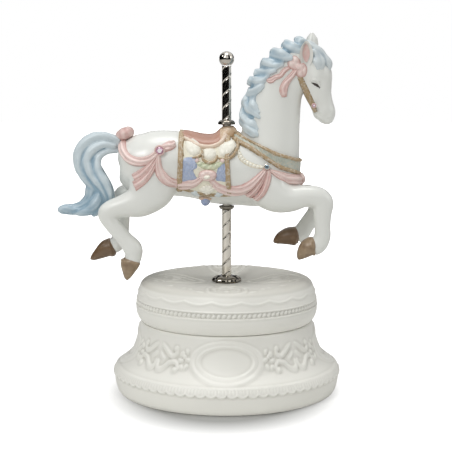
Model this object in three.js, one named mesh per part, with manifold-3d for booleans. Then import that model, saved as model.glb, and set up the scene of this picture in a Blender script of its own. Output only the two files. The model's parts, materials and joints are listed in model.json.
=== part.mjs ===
// Wind-up music box: a porcelain carousel horse on a twisted pole, which turns on a round
// bisque base. The base holds an eighteen-note spring movement with its key underneath.
// Millimetres, +Z up, -Y is the front, the horse faces +X.
import * as THREE from 'three';
import { mergeVertices } from 'three/addons/utils/BufferGeometryUtils.js';
import Module from 'manifold-3d';

const wasm = await Module();
wasm.setup();

// ---------------------------------------------------------------- driving dimensions

const SEAT = 0.3;                 // gap between two seated faces
const RUN = 0.25;                 // radial clearance of a shaft in its bearing
const FULL = Math.PI * 2;

const BASE = {
  footR: 55.4,                    // outer radius on the table
  flangeR: 57.5,                  // widest radius of the scalloped flange
  flangeZ: 9,                     // height of the widest point
  lipR: 55.1,                     // radius where the flange turns into the sweep
  lipZ: 14,
  neckR: 43.8,                    // radius at the top of the sweep
  height: 35.2,
  wall: 3.5,
  sides: 30,
};

const DRUM = {
  footR: 41.6,                    // radius at the seam with the base
  bellyR: 45.9,                   // widest radius
  bellyZ: 8,                      // above the drum's foot
  shoulderR: 43.6,
  shoulderZ: 16.4,
  crownR: 40.6,                   // where the shoulder meets the flat deck
  height: 19,
  wall: 3.5,
  deckThick: 4,
  spigotDepth: 2.2,
};

const COVER = {
  underside: 15,                  // height of the key recess above the table
  thick: 2.5,
  edgeGap: 1.2,
  arborHoleR: 3.4,
  screwCount: 3,
  screwAngle: Math.PI / 3,
};

const SCREW = {
  cover: { headR: 3, headH: 1.8, shankR: 1.5, length: 9 },
  movement: { headR: 2.2, headH: 1.3, shankR: 1.1, length: 4.2 },
  comb: { headR: 1.8, headH: 1.1, shankR: 0.9, length: 5 },
};
const BOSS = { r: 4.6, height: 10, inset: 6.4 };

// The bedplate reaches these distances past the barrel's wheel, the comb and the governor.
const BED = { leftRim: 0.3, frontRim: 0.45, backRim: 1.2, thick: 2, corner: 3, screwInset: 4.2 };

const CYLINDER = {
  r: 5.5,
  pinR: 0.26,
  pinHeight: 0.6,
  endPlay: 0.6,                   // between its left end and the left bracket
  wallGap: 1,                     // from the comb's outer corner to the base's wall
  notes: 18,
  margin: 0.5,
  arborR: 1,
  strokes: 2,                     // pins in each note's track
};

const COMB = { thick: 1.2, depth: 14.6, bodyDepth: 5.6, toothShare: 0.7, tipGap: 0.25 };

// The crown wheel's teeth stand this clear of the spring barrel's wall.
const CROWN = { teeth: 40, clear: 1.8, face: 2.1, disc: 1.7, tip: 0.5, root: 0.85 };
const CROWN_PINION = { teeth: 12, face: 1.7, tip: 0.55, root: 0.85 };
const TRAIN = { module: 0.5, tip: 0.42, root: 0.62 };
const CYLINDER_GEAR = { teeth: 34, face: 1.1 };
const GOVERNOR_PINION = { teeth: 8, face: 1.4 };
const WORM_WHEEL = { teeth: 14, face: 1 };
const WORM = { pitchR: 1.3, shaftR: 0.6, turns: 2.5, tip: 0.36, root: 0.5 };
const GEAR_CLEAR = 0.5;           // running room between a gear's tip and the bedplate

const BARREL = { r: 10.5, wall: 0.9, floor: 1, height: 12.6, lift: 0.6, lid: 1.2 };
const SPRING = { turns: 3.5, thick: 0.35, innerR: 2.6 };
const ARBOR = { r: 1.6, inKey: 6 };
const BRACKET = { thick: 1.2, halfWidth: 4, head: 3, foot: 4 };
const GOVERNOR = { gap: 0.9, shaftR: 0.7, frameWide: 4.4, arm: 1.4, web: 2, reach: 2.1 };
const FAN = { r: 5.4, height: 3.4, thick: 0.5, hubR: 1.3, wings: 3 };

const KEY = { hubR: 3, hubH: 11, wingSpan: 23, wingH: 9, wingThick: 1.6, floorGap: 2.5 };

const POLE = { r: 2.35, step: 0.25, groove: 0.4, lead: 13, starts: 2, sides: 8, rows: 8 };
const SLEEVE = { r: 3.7, length: 10 };
const SPINDLE = { r: 2, drop: 10.3 };  // drop is from the deck's face to its upper end
const BUSH = { flangeR: 5.4, wall: 1.5, flange: 0.8, tail: 1 };
const DECK_COLLAR = { r: 7.5, height: 2.2, petals: 6 };
const BELLY_COLLAR = { r: 3.9, height: 1.9, petals: 6 };
const SADDLE_COLLAR = { r: 4.4, height: 2.2, petals: 6 };
const BALL = { r: 3.73, seatR: 2.5 };

const RIDE_HEIGHT = 40;           // deck to the level from which the horse is measured
const BELLY_SEAT = -1.4;          // the belly collar's seat, from that level
const SADDLE_SEAT = 38.6;         // the saddle collar's seat, from that level
const POLE_ABOVE_SADDLE = 29.4;   // saddle seat to the pole's upper end
const GEM = { r: 2.1, depth: 1.7, sides: 8 };

// ---------------------------------------------------------------- materials

function finish(color, roughness, metalness = 0) {
  return new THREE.MeshStandardMaterial({ color, roughness, metalness });
}
const FINISH = {
  bisque: () => finish('#e4e3da', 0.75),
  porcelain: () => finish('#ece9e1', 0.3),
  chrome: () => finish('#c9cbcd', 0.12, 1),
  brass: () => finish('#b99a5b', 0.35, 1),
  steel: () => finish('#8d9094', 0.4, 1),
  zinc: () => finish('#9a9da0', 0.55, 1),
  nylon: () => finish('#e9e6d8', 0.5),
  board: () => finish('#3b3835', 0.8),
  pinkCrystal: () => finish('#dca3a6', 0.05),
  clearCrystal: () => finish('#b9d0e2', 0.05),
};

// ---------------------------------------------------------------- solids

// Closed, merged and outward-facing copy of a geometry, as a solid.
function toSolid(geometry) {
  const bare = geometry.clone();
  bare.deleteAttribute('normal');
  bare.deleteAttribute('uv');
  const merged = mergeVertices(bare, 1e-5);
  const index = merged.index.array;
  const at = merged.attributes.position;
  const corner = (k) => new THREE.Vector3().fromBufferAttribute(at, k);
  const kept = [];
  let volume = 0;
  for (let i = 0; i < index.length; i += 3) {
    const [a, b, c] = [index[i], index[i + 1], index[i + 2]];
    if (a !== b && b !== c && c !== a) {
      kept.push(a, b, c);
      volume += corner(a).dot(corner(b).cross(corner(c)));
    }
  }
  if (volume < 0) {
    kept.reverse();
  }
  const vertProperties = new Float32Array(at.array);
  return new wasm.Manifold(new wasm.Mesh({
    numProp: 3,
    vertProperties,
    triVerts: new Uint32Array(kept),
  }));
}

function toGeometry(solid) {
  const mesh = solid.getMesh();
  const geometry = new THREE.BufferGeometry();
  geometry.setAttribute('position', new THREE.BufferAttribute(mesh.vertProperties, 3));
  geometry.setIndex(new THREE.BufferAttribute(mesh.triVerts, 1));
  return geometry;
}

function join(...solids) {
  return solids.reduce((whole, next) => whole.add(next));
}

function cut(solid, ...tools) {
  return tools.reduce((rest, tool) => rest.subtract(tool), solid);
}

// Upright rod from z = low to z = high.
function rod(r, low, high, sides = 24, x = 0, y = 0) {
  const geometry = new THREE.CylinderGeometry(r, r, high - low, sides);
  geometry.rotateX(Math.PI / 2);
  geometry.translate(x, y, (low + high) / 2);
  return toSolid(geometry);
}

function block([x0, y0, z0], [x1, y1, z1]) {
  const geometry = new THREE.BoxGeometry(x1 - x0, y1 - y0, z1 - z0);
  geometry.translate((x0 + x1) / 2, (y0 + y1) / 2, (z0 + z1) / 2);
  return toSolid(geometry);
}

// Turned body: outline points are [radius, height], and the outline closes on itself.
function turned(outline, sides) {
  const points = outline.map(([r, z]) => new THREE.Vector2(r, z));
  points.push(points[0].clone());
  const geometry = new THREE.LatheGeometry(points, sides);
  geometry.rotateX(Math.PI / 2);
  return toSolid(geometry);
}

// Flat shape drawn in XY and raised from z = low to z = high.
function raised(shape, low, high, curveSegments = 8) {
  const geometry = new THREE.ExtrudeGeometry(shape, {
    depth: high - low,
    bevelEnabled: false,
    curveSegments,
  });
  geometry.translate(0, 0, low);
  return toSolid(geometry);
}

// Body whose cross-section r(angle) turns as it rises, like a worm or a twisted rod.
function twisted(sectionR, low, high, turns, sides, rows) {
  const ring = sides;
  const positions = [];
  for (let row = 0; row <= rows; row += 1) {
    const share = row / rows;
    for (let side = 0; side < ring; side += 1) {
      const angle = (FULL * side) / ring;
      const r = sectionR(angle);
      const turn = angle + FULL * turns * share;
      positions.push(r * Math.cos(turn), r * Math.sin(turn), low + (high - low) * share);
    }
  }
  return skinned(positions, ring, rows);
}

// Closes a stack of equal rings into one solid with a fan at each end.
function skinned(positions, ring, rows) {
  const middle = (row) => {
    const sum = [0, 0, 0];
    for (let side = 0; side < ring; side += 1) {
      for (let axis = 0; axis < 3; axis += 1) {
        sum[axis] += positions[(row * ring + side) * 3 + axis] / ring;
      }
    }
    return sum;
  };
  const last = rows * ring;
  const count = positions.length / 3;
  positions.push(...middle(0), ...middle(rows));
  const index = [];
  for (let side = 0; side < ring; side += 1) {
    const next = (side + 1) % ring;
    for (let row = 0; row < rows; row += 1) {
      const a = row * ring + side;
      const b = row * ring + next;
      index.push(a, b, b + ring, a, b + ring, a + ring);
    }
    index.push(count, next, side, count + 1, last + side, last + next);
  }
  const geometry = new THREE.BufferGeometry();
  geometry.setAttribute('position', new THREE.Float32BufferAttribute(positions, 3));
  geometry.setIndex(index);
  return toSolid(geometry);
}

// Body carried along a curve. A station is [x, y, z, half height, half width]: the height
// lies in the plane of the horse's side, the width across it.
function limb(stations, sides, rows, grow = 0) {
  const centres = new THREE.CatmullRomCurve3(
    stations.map(([x, y, z]) => new THREE.Vector3(x, y, z)), false, 'catmullrom', 0.5);
  const sizes = new THREE.CatmullRomCurve3(
    stations.map((s) => new THREE.Vector3(s[3], s[4], 0)), false, 'catmullrom', 0.5);
  const across = new THREE.Vector3(0, 1, 0);
  const positions = [];
  for (let row = 0; row <= rows; row += 1) {
    const share = row / rows;
    const centre = centres.getPoint(share);
    const size = sizes.getPoint(share);
    const along = centres.getTangent(share);
    const side = across.clone().addScaledVector(along, -along.y).normalize();
    const up = new THREE.Vector3().crossVectors(along, side);
    for (let k = 0; k < sides; k += 1) {
      const angle = (FULL * k) / sides;
      const point = centre.clone();
      point.addScaledVector(up, Math.sin(angle) * (size.x + grow));
      point.addScaledVector(side, Math.cos(angle) * (size.y + grow));
      positions.push(point.x, point.y, point.z);
    }
  }
  return skinned(positions, sides, rows);
}

// Cup of petals round the pole: a thin flared wall whose rim waves in and out.
function petalCup({ r, height, petals }, boreR, upward) {
  const rows = 2;
  const ring = petals * 3;
  const positions = [];
  for (let row = 0; row <= rows; row += 1) {
    const share = row / rows;
    const flare = boreR + 0.7 + (r - boreR - 0.7) * Math.sin((share * Math.PI) / 2);
    for (let side = 0; side < ring; side += 1) {
      const angle = (FULL * side) / ring;
      const wave = 1 + 0.09 * share * Math.cos(petals * angle);
      const rim = flare * wave / (1 + 0.09 * share);
      const z = upward ? share * height : (1 - share) * height;
      positions.push(rim * Math.cos(angle), rim * Math.sin(angle), z);
    }
  }
  return cut(skinned(positions, ring, rows), rod(boreR, -1, height + 1, 12));
}

// ---------------------------------------------------------------- gears

// Outline of a gear with straight-sided teeth, with one tooth on the +X side.
function gearShape(teeth, module, tip, root, bore = 0) {
  const pitchR = (teeth * module) / 2;
  const pitch = Math.PI * module;
  const tipHalf = (0.1 * pitch) / (pitchR + tip);
  const rootHalf = (0.25 * pitch) / (pitchR - root);
  const shape = new THREE.Shape();
  for (let tooth = 0; tooth < teeth; tooth += 1) {
    const middle = (FULL * tooth) / teeth;
    const corners = [
      [pitchR - root, -rootHalf], [pitchR + tip, -tipHalf],
      [pitchR + tip, tipHalf], [pitchR - root, rootHalf],
    ];
    corners.forEach(([r, offset], k) => {
      const [x, y] = [r * Math.cos(middle + offset), r * Math.sin(middle + offset)];
      if (tooth === 0 && k === 0) {
        shape.moveTo(x, y);
      } else {
        shape.lineTo(x, y);
      }
    });
  }
  shape.closePath();
  if (bore > 0) {
    shape.holes.push(new THREE.Path().absarc(0, 0, bore, 0, FULL, true));
  }
  return shape;
}

// Ring of radial ridges standing on z = 0, with a gap between two ridges on the +X side.
function crownTeeth(crown) {
  const pitchR = crownPitchR;
  const pitch = Math.PI * crownModule;
  const ridge = new THREE.Shape();
  ridge.moveTo(-0.23 * pitch, -0.3);
  ridge.lineTo(0.23 * pitch, -0.3);
  ridge.lineTo(0.1 * pitch, crown.root + crown.tip);
  ridge.lineTo(-0.1 * pitch, crown.root + crown.tip);
  ridge.closePath();
  const teeth = [];
  for (let tooth = 0; tooth < crown.teeth; tooth += 1) {
    const geometry = new THREE.ExtrudeGeometry(ridge, { depth: crown.face, bevelEnabled: false });
    geometry.rotateX(Math.PI / 2);
    geometry.rotateZ(Math.PI / 2);
    geometry.translate(pitchR - crown.face / 2, 0, 0);
    geometry.rotateZ((FULL * (tooth + 0.5)) / crown.teeth);
    teeth.push(toSolid(geometry));
  }
  return join(...teeth);
}

// ---------------------------------------------------------------- base and drum outlines

function baseOuter(steps = 3) {
  const path = new THREE.Path();
  path.moveTo(BASE.footR, 0);
  path.quadraticCurveTo(BASE.flangeR, BASE.flangeZ * 0.35, BASE.flangeR, BASE.flangeZ);
  path.quadraticCurveTo(BASE.flangeR, BASE.lipZ - 2, BASE.lipR, BASE.lipZ);
  const pull = [BASE.neckR + 2.2, BASE.lipZ + 5];
  path.quadraticCurveTo(...pull, BASE.neckR, BASE.height);
  return path.getPoints(steps).map(({ x, y }) => [x, y]);
}

function drumOuter() {
  const path = new THREE.Path();
  path.moveTo(DRUM.footR, 0);
  path.quadraticCurveTo(DRUM.bellyR - 0.3, DRUM.bellyZ * 0.25, DRUM.bellyR, DRUM.bellyZ);
  path.quadraticCurveTo(DRUM.bellyR, DRUM.shoulderZ * 0.8, DRUM.shoulderR, DRUM.shoulderZ);
  path.quadraticCurveTo(DRUM.shoulderR - 1, DRUM.height, DRUM.crownR, DRUM.height);
  return path.getPoints(2).map(({ x, y }) => [x, y]);
}

// Radius of an outline at a height, read between its two nearest points.
function radiusAt(outline, z) {
  const k = outline.findIndex(([, height]) => height >= z);
  const [r0, z0] = outline[Math.max(k - 1, 0)];
  const [r1, z1] = outline[k];
  return z1 === z0 ? r1 : r0 + ((r1 - r0) * (z - z0)) / (z1 - z0);
}

const baseWallR = (z) => radiusAt(baseOuter(), z) - BASE.wall;
const coverTop = COVER.underside + COVER.thick;
const coverR = baseWallR(coverTop) - COVER.edgeGap;
const bossR = coverR - BOSS.inset;
const bossSpots = Array.from({ length: COVER.screwCount }, (_, k) => {
  const angle = COVER.screwAngle + (FULL * k) / COVER.screwCount;
  return [bossR * Math.cos(angle), bossR * Math.sin(angle)];
});

// ---------------------------------------------------------------- heights of the stack

const drumFoot = BASE.height + SEAT;
const deckTop = drumFoot + DRUM.height;
const bedFoot = coverTop + SEAT;
const bedTop = bedFoot + BED.thick;
const cylinderGearR = (CYLINDER_GEAR.teeth * TRAIN.module) / 2;
const cylinderZ = bedTop + cylinderGearR + TRAIN.tip + GEAR_CLEAR;
const crownPitchR = BARREL.r + CROWN.clear + CROWN.face / 2;
const crownModule = (2 * crownPitchR) / CROWN.teeth;
const crownPinionR = (CROWN_PINION.teeth * crownModule) / 2;
const crownRimR = crownPitchR + CROWN.face / 2 + 0.3;
const crownPitchZ = cylinderZ - crownPinionR;
const governorY = cylinderGearR + (GOVERNOR_PINION.teeth * TRAIN.module) / 2;
const wormWheelR = (WORM_WHEEL.teeth * TRAIN.module) / 2;
const wormY = governorY + wormWheelR + WORM.pitchR;
const cylinderGearX = crownRimR + 0.5;
const leftPlateX = cylinderGearX + CYLINDER_GEAR.face + 0.5;
const cylinderStart = leftPlateX + BRACKET.thick + CYLINDER.endPlay;
const combTipY = -(CYLINDER.r + CYLINDER.pinHeight + COMB.tipGap);
const combBackY = combTipY - COMB.depth;
const combFoot = cylinderZ - COMB.thick / 2;
const combCorner = [baseWallR(combFoot + COMB.thick) - CYLINDER.wallGap, combBackY];
const cylinderEnd = Math.sqrt(combCorner[0] ** 2 - combCorner[1] ** 2);
const cylinderLength = cylinderEnd - cylinderStart;
const notePitch = (cylinderLength - 2 * CYLINDER.margin) / CYLINDER.notes;
const rightPlateX = cylinderEnd + 0.5;
const governorX = leftPlateX + BRACKET.thick + GOVERNOR.gap + GOVERNOR.frameWide / 2;
const barrelFoot = bedTop + BARREL.lift;
const barrelTop = barrelFoot + BARREL.height;
const spindleTop = deckTop - SPINDLE.drop;
const poleFoot = spindleTop + SEAT;
const poleCoreR = POLE.r - POLE.step;
const bellySeat = RIDE_HEIGHT + BELLY_SEAT;
const saddleSeat = RIDE_HEIGHT + SADDLE_SEAT;
const poleTop = saddleSeat + POLE_ABOVE_SADDLE;

// ---------------------------------------------------------------- porcelain shells

function flaredBase() {
  const inner = baseOuter(2).map(([r, z]) => [r - BASE.wall, z]).reverse();
  const shell = turned([...baseOuter(), ...inner], BASE.sides);
  const bosses = bossSpots.map(([x, y]) => rod(BOSS.r, coverTop + SEAT, coverTop + BOSS.height, 8, x, y));
  const bossHoles = bossSpots.map(([x, y]) => (
    rod(SCREW.cover.shankR + RUN, coverTop, coverTop + SCREW.cover.length - COVER.thick, 8, x, y)));
  return cut(join(shell, ...bosses), ...bossHoles);
}

function platformDrum() {
  const outer = drumOuter();
  const skirtR = DRUM.footR - DRUM.wall;
  const spigotR = BASE.neckR - BASE.wall - SEAT;
  const ceiling = DRUM.height - DRUM.deckThick;
  const bore = poleCoreR + RUN + BUSH.wall + SEAT;
  const recess = [BUSH.flangeR + SEAT, DRUM.height - BUSH.flange - SEAT];
  const outline = [
    ...outer, [recess[0], DRUM.height], recess, [bore, recess[1]], [bore, ceiling],
    [DRUM.shoulderR - DRUM.wall, ceiling],
    [DRUM.bellyR - DRUM.wall, DRUM.bellyZ], [skirtR, 1],
    [spigotR - DRUM.wall, -DRUM.spigotDepth],
    [spigotR, -DRUM.spigotDepth], [spigotR, 0],
  ];
  return turned(outline, BASE.sides);
}

function poleBushing() {
  const bore = poleCoreR + RUN;
  const r = bore + BUSH.wall;
  const low = -DRUM.deckThick - BUSH.tail;
  return turned([
    [bore, low], [r, low], [r, -BUSH.flange], [BUSH.flangeR, -BUSH.flange],
    [BUSH.flangeR, 0], [bore, 0],
  ], 12);
}

function bottomCover() {
  const [low, high] = [-1, COVER.thick + 1];
  const disc = turned([
    [COVER.arborHoleR, 0], [coverR, 0], [coverR, COVER.thick], [COVER.arborHoleR, COVER.thick],
  ], BASE.sides);
  const shellHoles = bossSpots.map(([x, y]) => rod(SCREW.cover.shankR + RUN, low, high, 8, x, y));
  const bedHoles = bedScrews.map(([x, y]) => rod(SCREW.movement.shankR + RUN, low, high, 8, x, y));
  return cut(disc, ...shellHoles, ...bedHoles);
}

// Pan-head screw standing with its head just above z = 0 and its shank pointing down.
function screw({ headR, headH, shankR, length }) {
  return turned([
    [0, SEAT - length], [shankR, SEAT - length], [shankR, SEAT], [headR, SEAT],
    [headR, SEAT + headH * 0.5], [headR * 0.6, SEAT + headH], [0, SEAT + headH],
  ], 8);
}

// ---------------------------------------------------------------- movement, fixed pieces

function roundedPlate({ left, right, front, back, corner }) {
  const shape = new THREE.Shape();
  shape.moveTo(left + corner, front);
  shape.lineTo(right - corner, front);
  shape.absarc(right - corner, front + corner, corner, -Math.PI / 2, 0, false);
  shape.absarc(right - corner, back - corner, corner, 0, Math.PI / 2, false);
  shape.absarc(left + corner, back - corner, corner, Math.PI / 2, Math.PI, false);
  shape.absarc(left + corner, front + corner, corner, Math.PI, Math.PI * 1.5, false);
  return shape;
}

const combScrewY = combBackY + COMB.bodyDepth / 2;
const combScrewX = [0.22, 0.78].map((share) => cylinderStart + cylinderLength * share);

const bed = {
  left: -(crownRimR + BED.leftRim),
  right: rightPlateX + BRACKET.thick,
  front: combBackY - BED.frontRim,
  back: wormY + GOVERNOR.reach + GOVERNOR.web + BED.backRim,
  corner: BED.corner,
};
const bedScrews = [
  [bed.left + BED.screwInset, bed.front + BED.screwInset],
  [bed.left + BED.screwInset, bed.back - BED.screwInset],
  [bed.right - BED.screwInset, bed.back - BED.screwInset],
];

function bedplate() {
  const shape = roundedPlate(bed);
  shape.holes.push(new THREE.Path().absarc(0, 0, ARBOR.r + RUN, 0, FULL, true));
  bedScrews.forEach(([x, y]) => {
    shape.holes.push(new THREE.Path().absarc(x, y, SCREW.movement.shankR + RUN, 0, FULL, true));
  });
  const plate = raised(shape, 0, BED.thick, 4);
  const restTop = combFoot - SEAT - bedFoot;
  const rest = block(
    [cylinderStart, combBackY, BED.thick - 0.5],
    [cylinderEnd, combBackY + COMB.bodyDepth, restTop]);
  const holes = combScrewX.map((x) => (
    rod(SCREW.comb.shankR + RUN, restTop - SCREW.comb.length, restTop + 1, 8, x, combScrewY)));
  return cut(join(plate, rest), ...holes);
}

// Steel comb: the teeth point at the cylinder and grow longer towards the bass end.
function comb() {
  const shape = new THREE.Shape();
  const half = (notePitch * COMB.toothShare) / 2;
  shape.moveTo(cylinderStart, combBackY);
  shape.lineTo(cylinderEnd, combBackY);
  for (let note = CYLINDER.notes - 1; note >= 0; note -= 1) {
    const middle = cylinderStart + CYLINDER.margin + (note + 0.5) * notePitch;
    const rootY = combBackY + COMB.bodyDepth + note * 0.12;
    shape.lineTo(middle + half, rootY);
    shape.lineTo(middle + half, combTipY);
    shape.lineTo(middle - half, combTipY);
    shape.lineTo(middle - half, rootY);
  }
  shape.closePath();
  combScrewX.forEach((x) => {
    const hole = new THREE.Path().absarc(x, combScrewY, SCREW.comb.shankR + RUN, 0, FULL, true);
    shape.holes.push(hole);
  });
  return raised(shape, 0, COMB.thick);
}

// Upright bearing plate with a folded foot. Holes are [y, radius] at the cylinder's height.
function bearingPlate(low, high, footTowards, holes) {
  const rise = cylinderZ - bedTop;
  const plate = block([0, low, SEAT], [BRACKET.thick, high, rise + BRACKET.head]);
  const foot = footTowards > 0
    ? block([0, low, SEAT], [BRACKET.foot, high, SEAT + BRACKET.thick])
    : block([BRACKET.thick - BRACKET.foot, low, SEAT], [BRACKET.thick, high, SEAT + BRACKET.thick]);
  const bores = holes.map(([y, r]) => {
    const geometry = new THREE.CylinderGeometry(r, r, BRACKET.thick * 4, 12);
    geometry.rotateZ(Math.PI / 2);
    geometry.translate(0, y, rise);
    return toSolid(geometry);
  });
  return cut(join(plate, foot), ...bores);
}

const frameLow = SEAT;
const frameTop = cylinderZ - bedTop + wormWheelR + TRAIN.tip + GOVERNOR.arm + 0.1;

// C-shaped bracket that holds the worm between two arms.
function governorFrame() {
  const backY = GOVERNOR.reach + GOVERNOR.web;
  const shape = new THREE.Shape();
  shape.moveTo(-GOVERNOR.reach, frameLow);
  shape.lineTo(backY, frameLow);
  shape.lineTo(backY, frameTop);
  shape.lineTo(-GOVERNOR.reach + 0.4, frameTop);
  shape.lineTo(-GOVERNOR.reach + 0.4, frameTop - GOVERNOR.arm);
  shape.lineTo(GOVERNOR.reach, frameTop - GOVERNOR.arm);
  shape.lineTo(GOVERNOR.reach, frameLow + GOVERNOR.arm);
  shape.lineTo(-GOVERNOR.reach, frameLow + GOVERNOR.arm);
  shape.closePath();
  const geometry = new THREE.ExtrudeGeometry(shape, {
    depth: GOVERNOR.frameWide,
    bevelEnabled: false,
  });
  geometry.rotateX(Math.PI / 2);
  geometry.rotateZ(Math.PI / 2);
  geometry.translate(-GOVERNOR.frameWide / 2, 0, 0);
  return cut(toSolid(geometry), rod(WORM.shaftR + RUN, frameLow + 0.5, frameTop + 1, 12));
}

// ---------------------------------------------------------------- movement, turning pieces

// Barrel with its great wheel: a cup whose flange carries the crown teeth.
function springBarrel() {
  const bore = ARBOR.r + RUN;
  const discTop = crownPitchZ - CROWN.root - barrelFoot;
  const cup = turned([
    [bore, 0], [BARREL.r, 0], [BARREL.r, discTop - CROWN.disc], [crownRimR, discTop - CROWN.disc],
    [crownRimR, discTop], [BARREL.r, discTop], [BARREL.r, BARREL.height],
    [BARREL.r - BARREL.wall, BARREL.height], [BARREL.r - BARREL.wall, BARREL.floor],
    [bore, BARREL.floor],
  ], 20);
  const teeth = toGeometry(crownTeeth(CROWN));
  teeth.translate(0, 0, discTop);
  return join(cup, toSolid(teeth));
}

// Mainspring: a flat strip wound as a spiral between the arbor and the barrel's wall.
function mainspring() {
  const outerR = BARREL.r - BARREL.wall - SEAT - SPRING.thick;
  const steps = SPRING.turns * 8;
  const edge = (offset) => Array.from({ length: steps + 1 }, (_, k) => {
    const angle = (FULL * SPRING.turns * k) / steps;
    const r = SPRING.innerR + ((outerR - SPRING.innerR) * k) / steps + offset;
    return new THREE.Vector2(r * Math.cos(angle), r * Math.sin(angle));
  });
  const shape = new THREE.Shape([...edge(0), ...edge(SPRING.thick).reverse()]);
  return raised(shape, BARREL.floor + SEAT, BARREL.height - SEAT);
}

function outputSpindle() {
  const top = spindleTop - bedTop;
  const lidLow = barrelTop + SEAT - bedTop;
  return turned([
    [0, lidLow], [BARREL.r, lidLow], [BARREL.r, lidLow + BARREL.lid],
    [SPINDLE.r * 2, lidLow + BARREL.lid], [SPINDLE.r * 2, lidLow + BARREL.lid * 2.5],
    [SPINDLE.r, lidLow + BARREL.lid * 2.5], [SPINDLE.r, top], [0, top],
  ], 12);
}

function shaftSleeve() {
  const bore = poleCoreR + RUN;
  return turned([
    [bore, 0], [SLEEVE.r, 0], [SLEEVE.r, SLEEVE.length], [bore, SLEEVE.length],
  ], 12);
}

// Pins of the tune: each note's track gets its own spacing, so no two tracks match.
function pinnedCylinder() {
  const body = cut(
    rod(CYLINDER.r, 0, cylinderLength, 20),
    rod(CYLINDER.arborR + SEAT, -1, cylinderLength + 1, 8));
  const pins = [];
  for (let note = 0; note < CYLINDER.notes; note += 1) {
    const z = CYLINDER.margin + (note + 0.5) * notePitch;
    for (let stroke = 0; stroke < CYLINDER.strokes; stroke += 1) {
      const angle = FULL * ((stroke + 0.37 * ((note * 7) % 5)) / CYLINDER.strokes + note * 0.061);
      const reach = CYLINDER.r + CYLINDER.pinHeight;
      const geometry = new THREE.CylinderGeometry(CYLINDER.pinR, CYLINDER.pinR, 1.4, 4);
      geometry.rotateZ(-Math.PI / 2);
      geometry.translate(reach - 0.7, 0, 0);
      geometry.rotateZ(angle);
      geometry.translate(0, 0, z);
      pins.push(toSolid(geometry));
    }
  }
  return join(body, ...pins);
}

const crownPinionX = crownPitchR - CROWN_PINION.face / 2;

function crownPinion() {
  const { teeth, tip, root, face } = CROWN_PINION;
  return raised(gearShape(teeth, crownModule, tip, root, CYLINDER.arborR + SEAT), 0, face, 4);
}

function cylinderGear() {
  const shape = gearShape(CYLINDER_GEAR.teeth, TRAIN.module, TRAIN.tip, TRAIN.root,
    CYLINDER.arborR + SEAT);
  return raised(shape, 0, CYLINDER_GEAR.face, 4);
}

// Governor's first wheel: pinion, shaft and worm wheel in one moulding, along z.
const governorStart = cylinderGearX - 0.3;
const governorEnd = governorX + WORM_WHEEL.face / 2 + GOVERNOR.frameWide / 2 + 2.2;

function governorWheel() {
  const teethFor = (teeth) => gearShape(teeth, TRAIN.module, TRAIN.tip, TRAIN.root);
  const pinion = raised(teethFor(GOVERNOR_PINION.teeth), 0, GOVERNOR_PINION.face);
  const wheelLow = governorX - WORM_WHEEL.face / 2 - governorStart;
  const wheel = raised(teethFor(WORM_WHEEL.teeth), wheelLow, wheelLow + WORM_WHEEL.face);
  return join(rod(GOVERNOR.shaftR, 0, governorEnd - governorStart, 8), pinion, wheel);
}

// Single-start worm: a round core with one raised flank, turned as it rises.
function governorWorm() {
  const lead = Math.PI * TRAIN.module;
  const height = WORM.turns * lead;
  const middle = -Math.PI / 2 - Math.PI * WORM.turns;   // in mesh at mid height, facing the wheel
  const thread = (angle) => {
    const away = Math.abs(THREE.MathUtils.euclideanModulo(angle - middle + Math.PI, FULL) - Math.PI)
      / Math.PI;
    const flank = Math.min(Math.max((0.46 - away) / 0.28, 0), 1);
    return WORM.pitchR - WORM.root + (WORM.root + WORM.tip) * flank;
  };
  const screwThread = twisted(thread, -height / 2, height / 2, WORM.turns, 10, WORM.turns * 8);
  const low = frameLow + 1 - (cylinderZ - bedTop);
  const high = frameTop - (cylinderZ - bedTop) + SEAT + FAN.height;
  return join(screwThread, rod(WORM.shaftR, low, high, 12));
}

function airBrake() {
  const parts = [rod(FAN.hubR, 0, FAN.height, 12)];
  for (let wing = 0; wing < FAN.wings; wing += 1) {
    const geometry = new THREE.BoxGeometry(FAN.r - FAN.hubR / 2, FAN.thick, FAN.height - 0.4);
    geometry.translate((FAN.r + FAN.hubR / 2) / 2, 0, FAN.height / 2);
    geometry.rotateZ((FULL * wing) / FAN.wings);
    parts.push(toSolid(geometry));
  }
  return cut(join(...parts), rod(WORM.shaftR + 0.1, -1, FAN.height + 1, 12));
}

// ---------------------------------------------------------------- key

// Butterfly key, hub upward, with its lowest edge at z = 0.
function windingKey() {
  const half = KEY.wingSpan / 2;
  const wing = new THREE.Shape();
  wing.moveTo(0, 0.8);
  wing.bezierCurveTo(half * 0.4, -0.6, half, -0.6, half, KEY.wingH * 0.5);
  wing.bezierCurveTo(half, KEY.wingH * 1.1, half * 0.5, KEY.wingH * 1.1, 0, KEY.wingH * 0.7);
  wing.bezierCurveTo(-half * 0.5, KEY.wingH * 1.1, -half, KEY.wingH * 1.1, -half, KEY.wingH * 0.5);
  wing.bezierCurveTo(-half, -0.6, -half * 0.4, -0.6, 0, 0.8);
  const eye = (x) => new THREE.Path().absellipse(x, KEY.wingH * 0.45, half * 0.22, 1.8, 0, FULL, true);
  wing.holes.push(eye(half * 0.58), eye(-half * 0.58));
  const geometry = new THREE.ExtrudeGeometry(wing, {
    depth: KEY.wingThick,
    bevelEnabled: false,
    curveSegments: 4,
  });
  geometry.translate(0, 0, -KEY.wingThick / 2);
  geometry.rotateX(Math.PI / 2);
  const hub = turned([
    [0, 0.6], [KEY.hubR * 0.7, 0.6], [KEY.hubR, 2], [KEY.hubR, KEY.hubH - 1],
    [KEY.hubR - 0.6, KEY.hubH], [0, KEY.hubH],
  ], 12);
  const socket = rod(ARBOR.r + SEAT, KEY.hubH - ARBOR.inKey, KEY.hubH + 1, 12);
  return cut(join(toSolid(geometry), hub), socket);
}

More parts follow.
